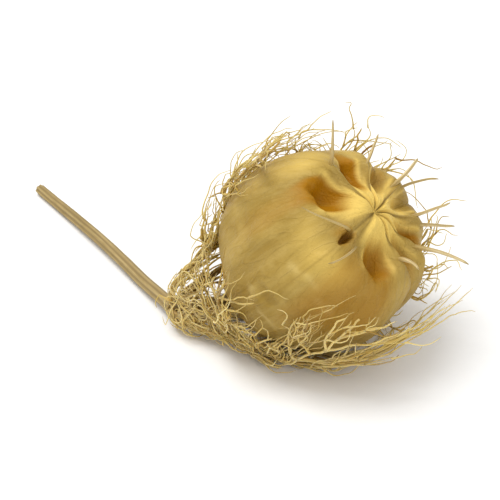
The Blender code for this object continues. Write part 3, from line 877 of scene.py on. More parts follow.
def stem_straw(looks):
    """Dry ribbed stem: pale beige on the ribs, olive-brown between them."""
    made, tree, shader = new_material("stem_straw", roughness=0.55, specular=0.4)
    age, fine = mottle(tree, 5.0, 0.4), fibres(tree, 4.5, 0.16)
    colour = painted(
        tree, mixed(tree, age["Blotches"], looks.olive, looks.beige),
        (fine["Mask"], 0.45, looks.pale),
        ("groove", 0.75, looks.groove),
        (age["Specks"], 0.4, looks.groove),
        ("pith", 1, looks.pith),
    )
    rough = ranged(tree, fine["Mask"], 0.0, 1.0, 0.48, 0.62)
    fill(tree, shader, {"Base Color": colour, "Roughness": rough})
    set_bump(tree, shader, 0.6, 0.14 * MM, (fine["Height"], 1))
    return made


def bract_straw(looks):
    """Dry thread-like bract: pale straw, each thread its own tone, browner at the tips."""
    made, tree, shader = new_material("bract_straw", roughness=0.6, specular=0.25, subsurface=0.3)
    along, tint, fine = point_value(tree, "along"), point_value(tree, "tint"), fibres(tree, 1.2, 0.35)
    colour = painted(
        tree, mixed(tree, ranged(tree, tint, 0.0, 0.7), looks.straw, looks.pale),
        (ranged(tree, tint, 0.78, 1.0), 1, looks.brown),
        (fine["Mask"], 0.35, looks.brown),
        (ranged(tree, along, 0.85, 1.0, 0.0, 0.4), 1, looks.brown),
    )
    fill(tree, shader, {"Base Color": colour})
    set_bump(tree, shader, 0.4, 0.06 * MM, (fine["Height"], 1))
    return made


def finish_piece(piece, material, node):
    """Gives a piece its material and its body, and hides the solid that it stands for."""
    piece.data.materials.append(material)
    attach(piece, BODY)
    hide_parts(node)


def colour_choice(name, description, default):
    """A colour that a user may change."""
    return bpy.props.FloatVectorProperty(
        name=name, description=description, default=default, subtype="COLOR", size=3, min=0, max=1)


# The capsule and its horns

class SeedPodLooks(bpy.types.PropertyGroup):
    """Sizes and colours of the capsule and its horns."""

    half_columns: bpy.props.IntProperty(
        name="Columns", description="Columns of faces across half a carpel", default=24, min=6, max=40)
    rows: bpy.props.IntProperty(
        name="Rows", description="Rows of faces from base to star", default=210, min=40, max=400)
    horn_rings: bpy.props.IntProperty(
        name="Horn rings", description="Rings of faces along each horn", default=34, min=8, max=80)
    wall_gold: colour_choice("Wall gold", "Main colour of the wall", (0.425, 0.286, 0.069))
    wall_pale: colour_choice("Wall pale", "Colour of the raised veins", (0.62, 0.47, 0.17))
    wall_deep: colour_choice("Wall deep", "Colour of the darker blotches", (0.33, 0.21, 0.038))
    # Also the colour of the painted highlights on the star's ridges and the wall's shoulder
    petal_and_highlight: colour_choice("Star bulges", "Colour of the bulges and ridges of the star", (0.80, 0.56, 0.135))
    # Also the colour of the painted shade beside and round the open seam
    hollow: colour_choice("Hollows", "Colour deep in the hollows of the star", (0.365, 0.155, 0.001))
    # Also the colour of the painted shade in the dents
    nerve: colour_choice("Nerves", "Colour of the line down each carpel", (0.26, 0.16, 0.03))
    seam: colour_choice("Seams", "Colour in the seams of the star", (0.22, 0.135, 0.024))
    # Painted shade inside the open seam
    slit: colour_choice("Slit", "Colour in the seam that has sprung open", (0.155, 0.062, 0.001))
    horn: colour_choice("Horns", "Colour of the horns", (0.78, 0.64, 0.36))


def keel_columns(count, crowding=1.6):
    """Places across half a carpel, closest together at the keel."""
    return [0.5 * (i / count) ** crowding for i in range(count)]


def creases(table, share, angle):
    """The creases of dry paper at a place on the capsule, as a shift in metres."""
    around = Vector((math.cos(angle), math.sin(angle), 0))
    shift = 0.0
    for height, round_scale, along_scale, (x, y), crisp in table:
        wave = noise.noise(around * round_scale + Vector((x, y, share * along_scale)))
        shift += height * (1 - CREST_SHARPNESS * abs(wave) if crisp else wave)
    return shift * MM


def wall_swellings(share, phase):
    """The soft swellings and dents of the wall: (outward shift, paleness of rims, painted shade in dents).
    """
    shift = rim = dent_shade = 0.0
    round_scale, along_scale = SWELLING_SCALES
    uneven = SWELLING_UNEVENNESS * noise_at(phase * round_scale, share * along_scale, 3.0)
    round_scale, along_scale = RIM_SCALES
    broken = ease(0.5 + 2 * noise_at(phase * round_scale, share * along_scale, 8.0))
    for at_phase, at_share, wide, long, rise, tone in SWELLINGS:
        away = math.hypot((phase - at_phase) / wide, (share - at_share) / long) + uneven
        shift += rise * (1 - ramp(away, *SWELLING_RAMP))
        if rise > 0:
            rim = max(rim, tone * broken * bump(away - SWELLING_RIM, SWELLING_RIM_WIDTH))
        else:
            # painted shade, deepest in the middle of each dent
            dent_shade = max(dent_shade, tone * (1 - ramp(away, *DENT_RAMP)))
    return shift, rim, dent_shade


def shoulder_highlight_strength(phase):
    """How strong the painted highlight on the shoulder is at a place round the pod, blended between the
    halves of the carpels.
    """
    place_round = 2 * phase - 0.5
    first = math.floor(place_round)
    low, high = (SHOULDER_HIGHLIGHTS[k % len(SHOULDER_HIGHLIGHTS)] for k in (first, first + 1))
    return mix(low, high, ease(place_round - first))


def star_form(share, share_out, off, valley, in_star):
    """The valleys, bulges and ridges of the star: (shift along the pod's axis, 1 on a ridge)."""
    cleft = max(0.0, 1 - (0.5 - off) / VALLEY_WIDTH) * bump(share_out - VALLEY_AT, VALLEY_LENGTH)
    lobe = ramp(off, *LOBE_SIDE_RAMP) * bump(share_out - LOBE_AT, LOBE_LENGTH) * ramp(share, *LOBE_RAMP)
    ridge = max(0.0, 1 - abs(off - RIDGE_OFF) / RIDGE_WIDTH) * bump(share_out - RIDGE_AT, RIDGE_LENGTH)
    ridge *= in_star * RIDGE_SHARES[valley]
    return LOBE_RISE * lobe + RIDGE_RISE * ridge - VALLEY_DEPTH * cleft * in_star, ridge


def seam_form(radius, across, carpel):
    """The seam of a carpel: (shift along the pod's axis, its tone, painted shade inside the open slit)."""
    beside = across - SEAM_WANDER * noise_at(radius / MM * SEAM_WANDER_SCALE, carpel * 3.7)
    reach = seam_reach(radius) * SEAM_SHARES[carpel]
    shift = LIP_RISE * reach * bump(abs(beside) - 2 * SEAM_WIDTH, SEAM_WIDTH)
    shift -= SEAM_DEPTH * reach * bump(beside, SEAM_WIDTH)
    seam = SEAM_TONE * reach * bump(beside, SEAM_TONE_WIDTH)
    if carpel != OPEN_CARPEL:
        return shift, seam, 0.0
    span = open_span(radius)
    ragged = noise_at(radius / MM * OPEN_RAGGED_SCALE, 9.0, math.copysign(2, across))
    half_open = OPEN_WIDTH * (1 + OPEN_RAGGEDNESS * ragged) * mix(OPEN_END_WIDTH, 1.0, span)
    opened = span * math.exp(-((across / half_open) ** OPEN_SHARPNESS))
    shift += OPEN_LIP_RISE * span * bump(abs(across) - OPEN_LIP_AT, OPEN_LIP_WIDTH)
    shift -= OPEN_DEPTH * opened
    # the slit's tone is painted shade inside the opening
    return shift, seam, ease(opened * OPEN_TONE_GAIN)


def hollow_tone(share, share_out, off, phase, valley):
    """How orange-brown a place is: 1 deep in a hollow of the star, fading down the wall's valleys; beside
    the open seam it is painted shade.
    """
    side = mix(*HOLLOW_SIDES, ease((HOLLOW_RIM - share_out) / HOLLOW_TAPER)) - HOLLOW_SPREADS[valley]
    hollow = ramp(off, side, HOLLOW_EDGES[valley])
    hollow *= ramp(share_out, HOLLOW_INNER_ENDS[valley], HOLLOW_INNER_FADE)
    on_wall = WALL_VALLEY_TONE * ramp(share, *WALL_VALLEY_RAMP)
    hollow *= mix(on_wall, 1.0, ramp(share, HOLLOW_STARTS[valley], HOLLOW_START_FADE))
    hollow *= HOLLOW_TONES[valley]
    before, after = (ramp(phase, *place_round) for place_round in SLIT_SHADE_RAMPS)
    shade = SLIT_SHADE * before * (1 - after) * ramp(share, *SLIT_SHADE_SHARE_RAMP)
    return max(hollow, shade * ramp(share_out, *SLIT_SHADE_OUT_RAMP))


def capsule_point(share, phase):
    """A point on the capsule with its creases and seams, and its values for the finish."""
    radius, angle, height, across = pod_place(share, phase)
    carpel, valley = round(phase) % CARPELS, math.floor(phase) % CARPELS
    off, in_star = off_rib(share, phase), ramp(share, *STAR_RAMP)
    swelling, rim, dent_shade = wall_swellings(share, phase)
    crease = (creases(WALL_CREASES, share, angle) + swelling) * ramp(share, *BASE_RAMP) * (1 - in_star)
    radius += crease * math.sin(math.pi * min(1.0, share / RIM_SHARE))
    share_out = radius / POD_RADIUS
    folds = creases(STAR_CREASES, share, angle) * mix(1.0, INNER_CREASES, ramp(share, *INNER_STAR_RAMP))
    height += crease * ramp(share, *CREASE_LIFT_RAMP)
    height += folds * in_star * ramp(radius, *MIDDLE_RAMP)
    shift, ridge = star_form(share, share_out, off, valley, in_star)
    sunk, seam, slit = seam_form(radius, across, carpel) if share > SEAMS_FROM else (0.0, 0.0, 0.0)
    height += shift + sunk
    hollow = hollow_tone(share, share_out, off, phase, valley)
    # painted shade round the open seam, laid into the hollows' tone
    if carpel == OPEN_CARPEL:
        halo_shaded = bump(across + SLIT_HALO_SHADE_OFF, SLIT_HALO_SHADE_WIDTH) * in_star
        hollow = max(hollow, SLIT_HALO_SHADE * open_span(radius) ** 0.5 * halo_shaded)
    # pale bulges of the star: where their reach is long, they paint light onto lobes that lie in shade
    petal_and_highlight = bump(max(0.0, share_out - PETAL_AT), PETAL_REACHES[valley])
    petal_and_highlight *= ramp(off, *PETAL_SIDE_RAMP) * ramp(share, *PETAL_RAMP)
    # painted highlight on the rib crests of the shoulder below the star's rim
    shoulder_highlight = bump(share - SHOULDER_AT, SHOULDER_WIDTH) * (1 - ramp(off, *SHOULDER_SIDE_RAMP))
    # The slit's and the dents' tones are painted shade; the shoulder's and the ridges' are painted highlight
    values = {
        "seam": seam, "slit": slit, "hollow": hollow,
        "petal_and_highlight": max(petal_and_highlight, RIDGE_HIGHLIGHT * ramp(ridge, *RIDGE_HIGHLIGHT_RAMP)),
        "nerve": NERVE_TONE * bump(across, NERVE_WIDTH) * (1 - in_star) * ramp(share, *NERVE_RAMP),
        "shoulder_highlight": shoulder_highlight * shoulder_highlight_strength(phase),
        "rim": rim * (1 - in_star),
        "dent_shade": dent_shade * (1 - in_star),
    }
    point = from_pod_axis(POD_BASE, radius, angle, height)
    point.z = max(point.z, 0.0)
    return point, (math.cos(angle), math.sin(angle), share), values


class OBJECT_OT_capsule(bpy.types.Operator):
    """Builds the papery capsule with its ribs, star, seams and sprung-open slit"""

    bl_idname = "seed_pod.capsule"
    bl_label = "Capsule"

    def execute(self, context):
        looks = context.scene.seed_pod_looks
        half = keel_columns(looks.half_columns)
        across = half + [0.5] + [1 - c for c in reversed(half[1:])]
        phases = [carpel + c for carpel in range(CARPELS) for c in across]
        skin = Skin()
        rings = []
        for row in range(1, looks.rows):
            places = (capsule_point(row / looks.rows, phase) for phase in phases)
            rings.append([skin.add_point(point, grain, **values) for point, grain, values in places])
        skin.add_rings(rings)
        for share, ring, flip in ((0.0, rings[0], True), (1.0, rings[-1], False)):
            point, grain, values = capsule_point(share, 0.0)
            skin.add_fan(ring, skin.add_point(point, grain, **values), flip)
        finish_piece(skin.make("capsule"), capsule_paper(looks), "seed_pod")
        return {"FINISHED"}


def horn_path(carpel, turned, foot, length, lean_at_foot, lean_at_tip, side_bend, rings):
    """The course of one horn from its sunken foot to its tip, with slight dry wavers."""
    angle = column_angle(carpel) + math.radians(turned)
    radius, height = foot * POD_RADIUS, HORN_ROOT * POD_RADIUS
    step = (length + HORN_SUNK) / rings
    points = []
    for i in range(rings + 1):
        share = i / rings
        waver = noise.noise_vector(Vector((share * HORN_WAVER_SCALE, carpel * 5.3, turned)))
        waver = waver * HORN_WAVER * MM * share
        points.append(from_pod_axis(POD_BASE, radius, angle, height) + waver)
        lean = math.radians(mix(lean_at_foot, lean_at_tip, ease(share)))
        radius += step * math.sin(lean)
        height += step * math.cos(lean)
        angle += side_bend * share * step / radius
    return points


def add_horn(skin, path, around, number, size, dull):
    """Adds one horn: flattened, grooved on its inner side, and narrowing to a dry blunt tip."""
    rings = []
    last = len(path) - 1
    for i, (side, up) in enumerate(path_frames(path, around)):
        share = i / last
        wide = size * mix(HORN_WIDE, HORN_TIP, share ** HORN_TAPERS[0])
        deep = size * mix(HORN_DEEP, HORN_TIP, share ** HORN_TAPERS[1])
        narrowed = 1 - HORN_END_NARROWING * ramp(share, *HORN_END_RAMP)
        uneven = 1 + HORN_UNEVENNESS * noise_at(share * HORN_UNEVEN_SCALE, number * 4.1)

        def section(turn):
            groove = max(0.0, math.cos(turn - math.radians(90))) ** HORN_GROOVE_POWER
            half = (1 - HORN_GROOVE * groove * ramp(share, *HORN_GROOVE_RAMP)) * narrowed * uneven
            return wide * half, deep * half, {"along": share, "groove": groove, "dull": dull}

        rings.append(skin.add_ring(path[i], side, up, HORN_SIDES, section, share * HORN_GRAIN))
    skin.add_rings(rings)
    foot = skin.add_point(path[0], (0, 0, 0), along=0.0, groove=0.0, dull=dull)
    skin.add_fan(rings[0], foot, flip=True)
    end = path[-1] + (path[-1] - path[-2]) * HORN_END_LENGTH
    skin.add_fan(rings[-1], skin.add_point(end, (0, 0, HORN_GRAIN), along=1.0, groove=0.0, dull=dull))


class OBJECT_OT_horns(bpy.types.Operator):
    """Builds the dry horns that crown the capsule"""

    bl_idname = "seed_pod.horns"
    bl_label = "Horns"

    def execute(self, context):
        looks = context.scene.seed_pod_looks
        skin = Skin()
        for number, (*course, size, dull) in enumerate(PRONGS):
            angle = column_angle(course[0]) + math.radians(course[1])
            around = POD_SIDE * math.cos(angle) - POD_DOWN * math.sin(angle)
            add_horn(skin, horn_path(*course, looks.horn_rings), around, number, size, dull)
        finish_piece(skin.make("horns"), horn_straw(looks), "seed_pod")
        return {"FINISHED"}


# The stem

class StemLooks(bpy.types.PropertyGroup):
    """Sizes and colours of the stem."""

    ribs: bpy.props.IntProperty(
        name="Ribs", description="Ribs round the stem", default=7, min=4, max=16)
    rib_height: bpy.props.FloatProperty(
        name="Rib height", description="How far the ribs stand out", default=0.15 * MM, unit="LENGTH",
        min=0, max=0.5 * MM)
    beige: colour_choice("Beige", "Main colour of the ribs", (0.37, 0.255, 0.088))
    pale: colour_choice("Pale fibres", "Colour of the palest fibres", (0.57, 0.44, 0.20))
    olive: colour_choice("Olive", "Colour of the duller stretches", (0.28, 0.19, 0.055))
    groove: colour_choice("Grooves", "Colour between the ribs", (0.20, 0.13, 0.04))
    pith: colour_choice("Pith", "Colour of the cut end", (0.74, 0.66, 0.46))


def stem_half(distance, turn, looks):
    """Half width of the ribbed stem at a distance below the pod and a turn round it, and its groove."""
    wander = STEM_RIB_WANDER * noise_at(distance / MM * STEM_WANDER_SCALE)
    groove = (1 - (0.5 + 0.5 * math.cos(looks.ribs * turn + wander))) ** STEM_GROOVE_POWER
    uneven = 1 + STEM_UNEVENNESS * noise_at(distance / MM * STEM_UNEVEN_SCALE, 4.0)
    round_scale, along_scale = STEM_ROUGH_SCALES
    rough = noise_at(math.cos(turn) * round_scale, math.sin(turn) * round_scale, distance / MM * along_scale)
    half = stem_radius(distance) * uneven + looks.rib_height * (0.5 - groove)
    return half + STEM_ROUGHNESS * rough, groove


def close_cut_end(skin, outer, path):
    """Closes the stem's cut end: a ragged rim, pale pith, and a small hollow in its middle."""
    along = (path[-1] - path[-2]).normalized()
    centre = path[-1]
    rings = [outer]
    for share, depth, pith in CUT_RINGS:
        ring = []
        for k, number in enumerate(outer):
            spot = centre.lerp(skin.points[number], share)
            ragged = CUT_RAGGEDNESS * noise_at(k * CUT_RAGGED_SCALES[0], share * CUT_RAGGED_SCALES[1], 1.0)
            spot = spot + along * (depth * MM + ragged)
            ring.append(skin.add_point(spot, (spot / MM)[:], groove=0.0, pith=pith))
        rings.append(ring)
    skin.add_rings(rings)
    middle = skin.add_point(centre - along * CUT_DEPTH * MM, (0, 0, 0), groove=1.0, pith=0.0)
    skin.add_fan(rings[-1], middle)


class OBJECT_OT_stem(bpy.types.Operator):
    """Builds the ribbed stem with its bent neck, swollen node and cut end"""

    bl_idname = "seed_pod.stem"
    bl_label = "Stem"

    def execute(self, context):
        looks = context.scene.stem_looks
        distances = [(NODE_AT + STEM_LENGTH) * i / STEM_RINGS for i in range(STEM_RINGS + 1)]
        path = stem_course(distances)
        skin = Skin()
        rings = []
        for distance, point, (side, up) in zip(distances, path, path_frames(path, (0, 0, 1))):
            def section(turn):
                half, groove = stem_half(distance, turn, looks)
                return half, half, {"groove": groove, "pith": 0.0}

            rings.append(skin.add_ring(point, side, up, STEM_SIDES, section, distance / MM))
            for number in rings[-1]:
                skin.points[number].z = max(skin.points[number].z, 0.0)
        skin.add_rings(rings)
        skin.add_fan(rings[0], skin.add_point(path[0], (0, 0, 0), groove=0.0, pith=0.0), flip=True)
        close_cut_end(skin, rings[-1], path)
        finish_piece(skin.make("stem_skin"), stem_straw(looks), "stem")
        return {"FINISHED"}


# The bracts

class BractLooks(bpy.types.PropertyGroup):
    """Sizes and colours of the bracts."""

    wisps: bpy.props.FloatProperty(
        name="Wisps", description="How full the bracts are of finest threads", default=1.0, min=0, max=3)
    waver: bpy.props.FloatProperty(
        name="Waver", description="How far the threads wander as they dry", default=0.5 * MM, unit="LENGTH",
        min=0, max=2 * MM)
    curl: bpy.props.FloatProperty(
        name="Curl", description="How strongly the finest threads curl", default=2.6, min=0, max=6)
    straw: colour_choice("Straw", "Main colour of the threads", (0.58, 0.395, 0.115))
    pale: colour_choice("Pale", "Colour of the palest threads", (0.82, 0.625, 0.26))
    brown: colour_choice("Brown", "Colour of the oldest threads and tips", (0.30, 0.18, 0.045))


def drawn(draw, ranges):
    """A draw from each range in turn."""
    return [draw.uniform(*limits) for limits in ranges]


def thread(start, heading, bend, sway, length, lift, steps, curl_power=1, sinking=0):
    """One thread laid out flat, as (along, across, height) points. It turns by bend, swaying on its way.

    With a curl power it bends most towards its tip, and with sinking it rises less and less.
    """
    along, across, height = start
    points = [(along, across, height)]
    step = length / steps
    for i in range(steps):
        share = (i + 0.5) / steps
        turn = heading + bend * share**curl_power + sway * math.sin(math.tau * share)
        along += step * math.cos(turn)
        across += step * math.sin(turn)
        height = max(0.0, height + step * lift * math.cos(math.pi * share * sinking))
        points.append((along, across, height))
    return points


def bract_threads(draw, length, reach):
    """The main threads of one bract, laid out flat as in the solids: rib, side threads and forks."""
    wave, sway = drawn(draw, RIB_DRAWS)
    rib = thread((0, 0, 0), -wave, 2 * wave, sway, length, RIB_LIFT, RIB_STEPS)
    threads = [(rib, RIB_HALF, PRONG_HALF, RIB_SIDES)]
    pairs = round(length / THREAD_PAIR_SPACING)
    for pair in range(pairs):
        for side in (-1, 1):
            share = mix(FIRST_PAIR, LAST_PAIR, (pair + 0.25 * (side + 1)) / pairs)
            foot = rib[round(share * RIB_STEPS)]
            fullness = mix(END_FULLNESS, 1.0, math.sin(math.pi * min(1.0, share + FULLNESS_SHIFT)))
            size, turned, bend, sway, lift = drawn(draw, LIMB_DRAWS)
            size, heading, bend = reach * fullness * size, side * turned, -side * bend
            limb = thread(foot, heading, bend, sway, size, lift, LIMB_STEPS)
            threads.append((limb, LIMB_HALF, WISP_HALF, LIMB_SIDES))
            for fork, at, share_of_limb in FORKS[: 1 + pair % 2]:
                turned, fork_bend, fork_size, lift = drawn(draw, PRONG_DRAWS)
                turn = heading + bend * at / LIMB_STEPS + fork * side * turned
                fork_length = size * share_of_limb * fork_size
                fork_bend *= -fork * side
                prong = thread(limb[at], turn, fork_bend, 0.0, fork_length, lift, PRONG_STEPS)
                threads.append((prong, PRONG_HALF, TIP_HALF, FINE_SIDES))
    return threads


def sweep_threads(draw, rib, length, count):
    """Long fine threads that leave the foot of the rib and sweep round the pod close to its wall."""
    sweeps = []
    for i in range(count):
        side = 1 if i % 2 else -1
        foot = rib[draw.choice(SWEEP_FEET)]
        turned, bend, size, sway, lift, thickness = drawn(draw, SWEEP_DRAWS)
        heading = side * turned
        bend = -side * bend - SWEEP_RETURN * heading
        sweep = thread(foot, heading, bend, sway, length * size, lift, SWEEP_STEPS)
        sweeps.append((sweep, SWEEP_HALF * thickness, TIP_HALF, FINE_SIDES))
    return sweeps


def crossing_threads(draw, threads, count):
    """Long threads that leave a bract's side and cross the wall towards the star."""
    first, last = CROSS_FEET
    starts = [[p for p in t[0] if first < p[0] < last and p[1] > CROSS_SIDE] for t in threads]
    starts = [feet for feet in starts if feet]
    crossings = []
    for _ in range(count):
        along, across, height = draw.choice(draw.choice(starts))
        heading, bend, size, sway, lift, thickness = drawn(draw, CROSS_DRAWS)
        foot = (along, across, min(height, CROSS_HEIGHT))
        crossing = thread(foot, heading, bend, sway, size, lift, SWEEP_STEPS, CURL_POWER, CURL_SINKING)
        crossings.append((crossing, SWEEP_HALF * thickness, TIP_HALF, FINE_SIDES))
    return crossings


def fine_thread(draw, points, first, last, ranges, curl):
    """A fine thread that branches off another, between two shares of its length, and curls as it dries."""
    place_along = draw.uniform(first, last) * (len(points) - 1)
    i = min(int(place_along), len(points) - 2)
    a, b = Vector(points[i]), Vector(points[i + 1])
    side = draw.choice((-1, 1))
    turned, bend, size, lift, sway, thickness = drawn(draw, ranges)
    heading = math.atan2(b.y - a.y, b.x - a.x) + side * turned
    flat = thread(a.lerp(b, place_along - i), heading, side * bend * curl, sway, size, lift, WISP_STEPS,
                  CURL_POWER, CURL_SINKING)
    return flat, WISP_HALF * thickness, TIP_HALF, FINE_SIDES


def wisp_threads(draw, threads, per_mm, curl):
    """The finest threads, which branch off the others and curl as they dry."""
    wisps = []
    for points, _, _, _ in threads:
        length = sum((Vector(b) - Vector(a)).length for a, b in zip(points, points[1:]))
        for _ in range(round(length / MM * per_mm)):
            wisps.append(fine_thread(draw, points, *WISP_FEET, WISP_DRAWS, curl))
    return wisps


def curl_threads(draw, threads, count, curl):
    """Short threads that tangle in loops round the node and the foot of the pod."""
    near = [t for t in threads if t[0][0][0] < CURL_REACH]
    curls = []
    for _ in range(count):
        points = draw.choice(near)[0]
        last = min(CURL_FEET[1], CURL_REACH / max(points[-1][0], CURL_REACH))
        curls.append(fine_thread(draw, points, CURL_FEET[0], last, CURL_DRAWS, curl))
    return curls


def shell_tables():
    """Distances along the shell that the bracts follow, and its points, closely spaced."""
    points = [Vector((*line_at(SHELL, k / SHELL_STEPS), 0)) * MM for k in range(SHELL_STEPS + 1)]
    distances = [0.0]
    for a, b in zip(points, points[1:]):
        distances.append(distances[-1] + (b - a).length)
    return distances, points


SHELL_DISTANCES, SHELL_POINTS = shell_tables()
NODE_SHIFT = NODE - from_pod_axis(POD_BASE, 0, 0, SHELL_POINTS[0].y)


def on_shell(distance):
    """(radius, height, outward radius, outward height) of the shell at a distance along it."""
    i = next((k for k, d in enumerate(SHELL_DISTANCES[1:-1]) if d > distance), len(SHELL_DISTANCES) - 2)
    a, b = SHELL_POINTS[i], SHELL_POINTS[i + 1]
    share = (distance - SHELL_DISTANCES[i]) / (SHELL_DISTANCES[i + 1] - SHELL_DISTANCES[i])
    point = a.lerp(b, share)
    along = (b - a).normalized()
    return point.x, point.y, along.y, -along.x


def solid_shape():
    """The surface of the solid pod and stem together, to measure distances from."""
    points, faces = [], []
    for name in ("seed_pod", "stem"):
        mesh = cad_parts[name].data
        first = len(points)
        points += [vertex.co.copy() for vertex in mesh.vertices]
        faces += [[first + i for i in face.vertices] for face in mesh.polygons]
    return BVHTree.FromPolygons(points, faces)


def kept_clear(point, half, inside):
    """Moves a thread's point off the pod, and up onto the surface or out along it from under the pod."""
    lowest = half + SURFACE_GAP
    point.z = max(point.z, lowest)
    for _ in range(CLEARING_STEPS):
        spot, normal, _, _ = inside.find_nearest(point)
        if (point - spot).dot(normal) > half + THREAD_GAP:
            break
        if point.z <= lowest:
            level = Vector((normal.x, normal.y, 0))
            side = Vector((0, math.copysign(1, point.y), 0))
            normal = level.normalized() if level.length > LEAST_SLANT else side
        point = point + normal * CLEARING_STEP
        point.z = max(point.z, lowest)
    return point


def bract_point(sector, flat, half_width, inside, free_from=None):
    """A flat place on a bract, carried onto the shell round the pod and kept in the bract's own sector.

    A fine thread is held in the sector only at its foot, and spreads freely from there.
    """
    middle, half, spreads = sector
    along, across, height = flat
    radius, rise, out_radius, out_rise = on_shell(along)
    room = half * radius - SECTOR_MARGIN
    held = across if free_from is None else free_from
    across = room * math.tanh(held / room) + (across - held) * spreads[across > held]
    angle = middle + across / radius
    point = from_pod_axis(POD_BASE, radius + out_radius * height, angle, rise + out_rise * height)
    point += NODE_SHIFT * (1 - ease(along / NODE_SHIFT_LENGTH))
    return kept_clear(point, half_width, inside)


def without_kinks(path, least, sharpest):
    """Leaves out points that crowd together, and ends a thread where it would fold back on itself."""
    kept = [path[0]]
    for i in range(1, len(path)):
        step = path[i] - kept[-1]
        before = kept[-1] - kept[-2] if len(kept) > 1 else path[1] - path[0]
        if step.length < least:
            continue
        if step.angle(before) > sharpest:
            break
        kept.append(path[i])
    return kept


def wavered(point, shift, reach):
    """A shift of a thread's point: slow wanders with small kinks, the same for all that meet there."""
    slow = noise.noise_vector(point / SLOW_WANDER + Vector((shift, 0, 0)))
    quick = noise.noise_vector(point / QUICK_WANDER + Vector((0, shift, 0)))
    return (slow + quick * QUICK_SHARE) * reach


def dried_path(path, own, thick, inside, reach):
    """A thread's smooth path with its wanders: some that neighbours share, and growing ones of its own."""
    path = smooth_path(path, SMOOTH_STEPS)
    for i, point in enumerate(path):
        moved = point + wavered(point, 0, reach)
        moved += wavered(point, own, OWN_WAVER * reach) * min(1.0, i / OWN_WAVER_POINTS)
        path[i] = kept_clear(moved, thick, inside)
    return path


class Runs:
    """Remembers where a bract's threads run, so that each new one starts on one of them."""

    def __init__(self):
        self.cells = {}

    @staticmethod
    def cell(point):
        return tuple(math.floor(x / FOOT_REACH) for x in point)

    def add(self, path):
        for point in path:
            self.cells.setdefault(self.cell(point), []).append(point.copy())

    def nearest(self, point):
        """The nearest place on a thread within FOOT_REACH, or None."""
        home = self.cell(point)
        shifts = itertools.product((-1, 0, 1), repeat=3)
        around = [tuple(a + b for a, b in zip(home, shift)) for shift in shifts]
        found = [q for cell in around for q in self.cells.get(cell, ()) if (q - point).length < FOOT_REACH]
        return min(found, key=lambda q: (q - point).length, default=None)


def thread_shape(thick, thin, foot_flare):
    """Half width of a thread along its length: flared at its foot, narrowing to a fine tip."""
    def half(share, _turn):
        flare = 1 + foot_flare * (1 - ease(share / FLARE_SHARE))
        return mix(thick, thin, share) * flare * (1 - TIP_NARROWING * ramp(share, *TIP_RAMP))
    return half


def rib_shape(share, turn):
    """Half width of a bract's rib: a flat sheath above its rounded foot, a plain thread beyond."""
    rounded = ramp(share, *SHEATH_RAMP)
    sheath = SHEATH_WIDTH * (1 - ease(share / FLARE_SHARE)) * math.cos(turn) ** 2 * rounded
    return mix(RIB_HALF, PRONG_HALF, share) * (1 + sheath) * mix(SHEATH_FOOT, 1.0, rounded)


def bract_skin(number, inside, looks):
    """All the threads of one bract as one skin."""
    middle, half, length, reach, sweeps, per_mm, curls, crossings, spreads = BRACTS[number]
    sector = math.radians(middle), math.radians(half), spreads
    main = bract_threads(random.Random(FIRST_SEED + number), length, reach)
    draw = random.Random(FINE_SEED + number)
    threads = main + sweep_threads(draw, main[0][0], length, sweeps)
    threads += wisp_threads(draw, threads, per_mm * looks.wisps, looks.curl)
    threads += curl_threads(draw, threads, round(curls * looks.wisps), looks.curl)
    threads += crossing_threads(draw, main, crossings)
    skin, runs = Skin(), Runs()
    for order, (flats, thick, thin, sides) in enumerate(threads):
        free_from = flats[0][1] if order >= len(main) else None
        path = [bract_point(sector, flat, thick, inside, free_from) for flat in flats]
        path = without_kinks(path, LEAST_STEP * thick, SHARPEST_KINK)
        if len(path) < 3:
            continue
        path = dried_path(path, draw.uniform(*OWN_WAVER_SHIFTS), thick, inside, looks.waver)
        tint = draw.random()
        shape, side = rib_shape, POD_SIDE * math.cos(sector[0]) - POD_DOWN * math.sin(sector[0])
        if order:
            foot = runs.nearest(path[0])
            if foot is None:
                continue
            path[0] = foot
            shape, side = thread_shape(thick, thin, FOOT_FLARES[flats[0][0] < NODE_WEB]), THREAD_SIDE
        runs.add(path)
        add_tube(skin, path, shape, sides, side, tint=tint)
    return skin


class OBJECT_OT_bracts(bpy.types.Operator):
    """Builds the five lacy bracts, each of many fine dry threads"""

    bl_idname = "seed_pod.bracts"
    bl_label = "Bracts"

    def execute(self, context):
        looks = context.scene.bract_looks
        inside = solid_shape()
        finish = bract_straw(looks)
        for number in range(len(BRACTS)):
            piece = bract_skin(number, inside, looks).make(f"bract_{number + 1}_threads")
            finish_piece(piece, finish, f"bract_{number + 1}")
        return {"FINISHED"}


# The stage

class StageSettings(bpy.types.PropertyGroup):
    """Floor, light and camera."""

    azimuth: bpy.props.FloatProperty(
        name="Azimuth", description="Camera's turn round the pod from the front", subtype="ANGLE",
        default=math.radians(29))
    elevation: bpy.props.FloatProperty(
        name="Elevation", description="Camera's height above the surface", subtype="ANGLE",
        default=math.radians(34))
    distance: bpy.props.FloatProperty(
        name="Distance", description="Camera's distance from the pod", unit="LENGTH", default=0.33, min=0.1)
    lens: bpy.props.FloatProperty(
        name="Lens", description="Camera's focal length in mm", default=162, min=10)
    key_power: bpy.props.FloatProperty(
        name="Key light", description="Power of the main soft light", unit="POWER", default=3.35, min=0)
    fill_power: bpy.props.FloatProperty(
        name="Fill light", description="Power of the fill light", unit="POWER", default=1.0, min=0)
    sky: bpy.props.FloatProperty(
        name="Sky", description="Strength of the light from all round", default=0.72, min=0)
    floor_colour: colour_choice("Floor", "Colour of the floor", (0.92, 0.92, 0.915))


def aim(thing, at):
    """Turns a light or camera to look at a point."""
    thing.rotation_euler = (Vector(at) - thing.location).to_track_quat("-Z", "Y").to_euler()


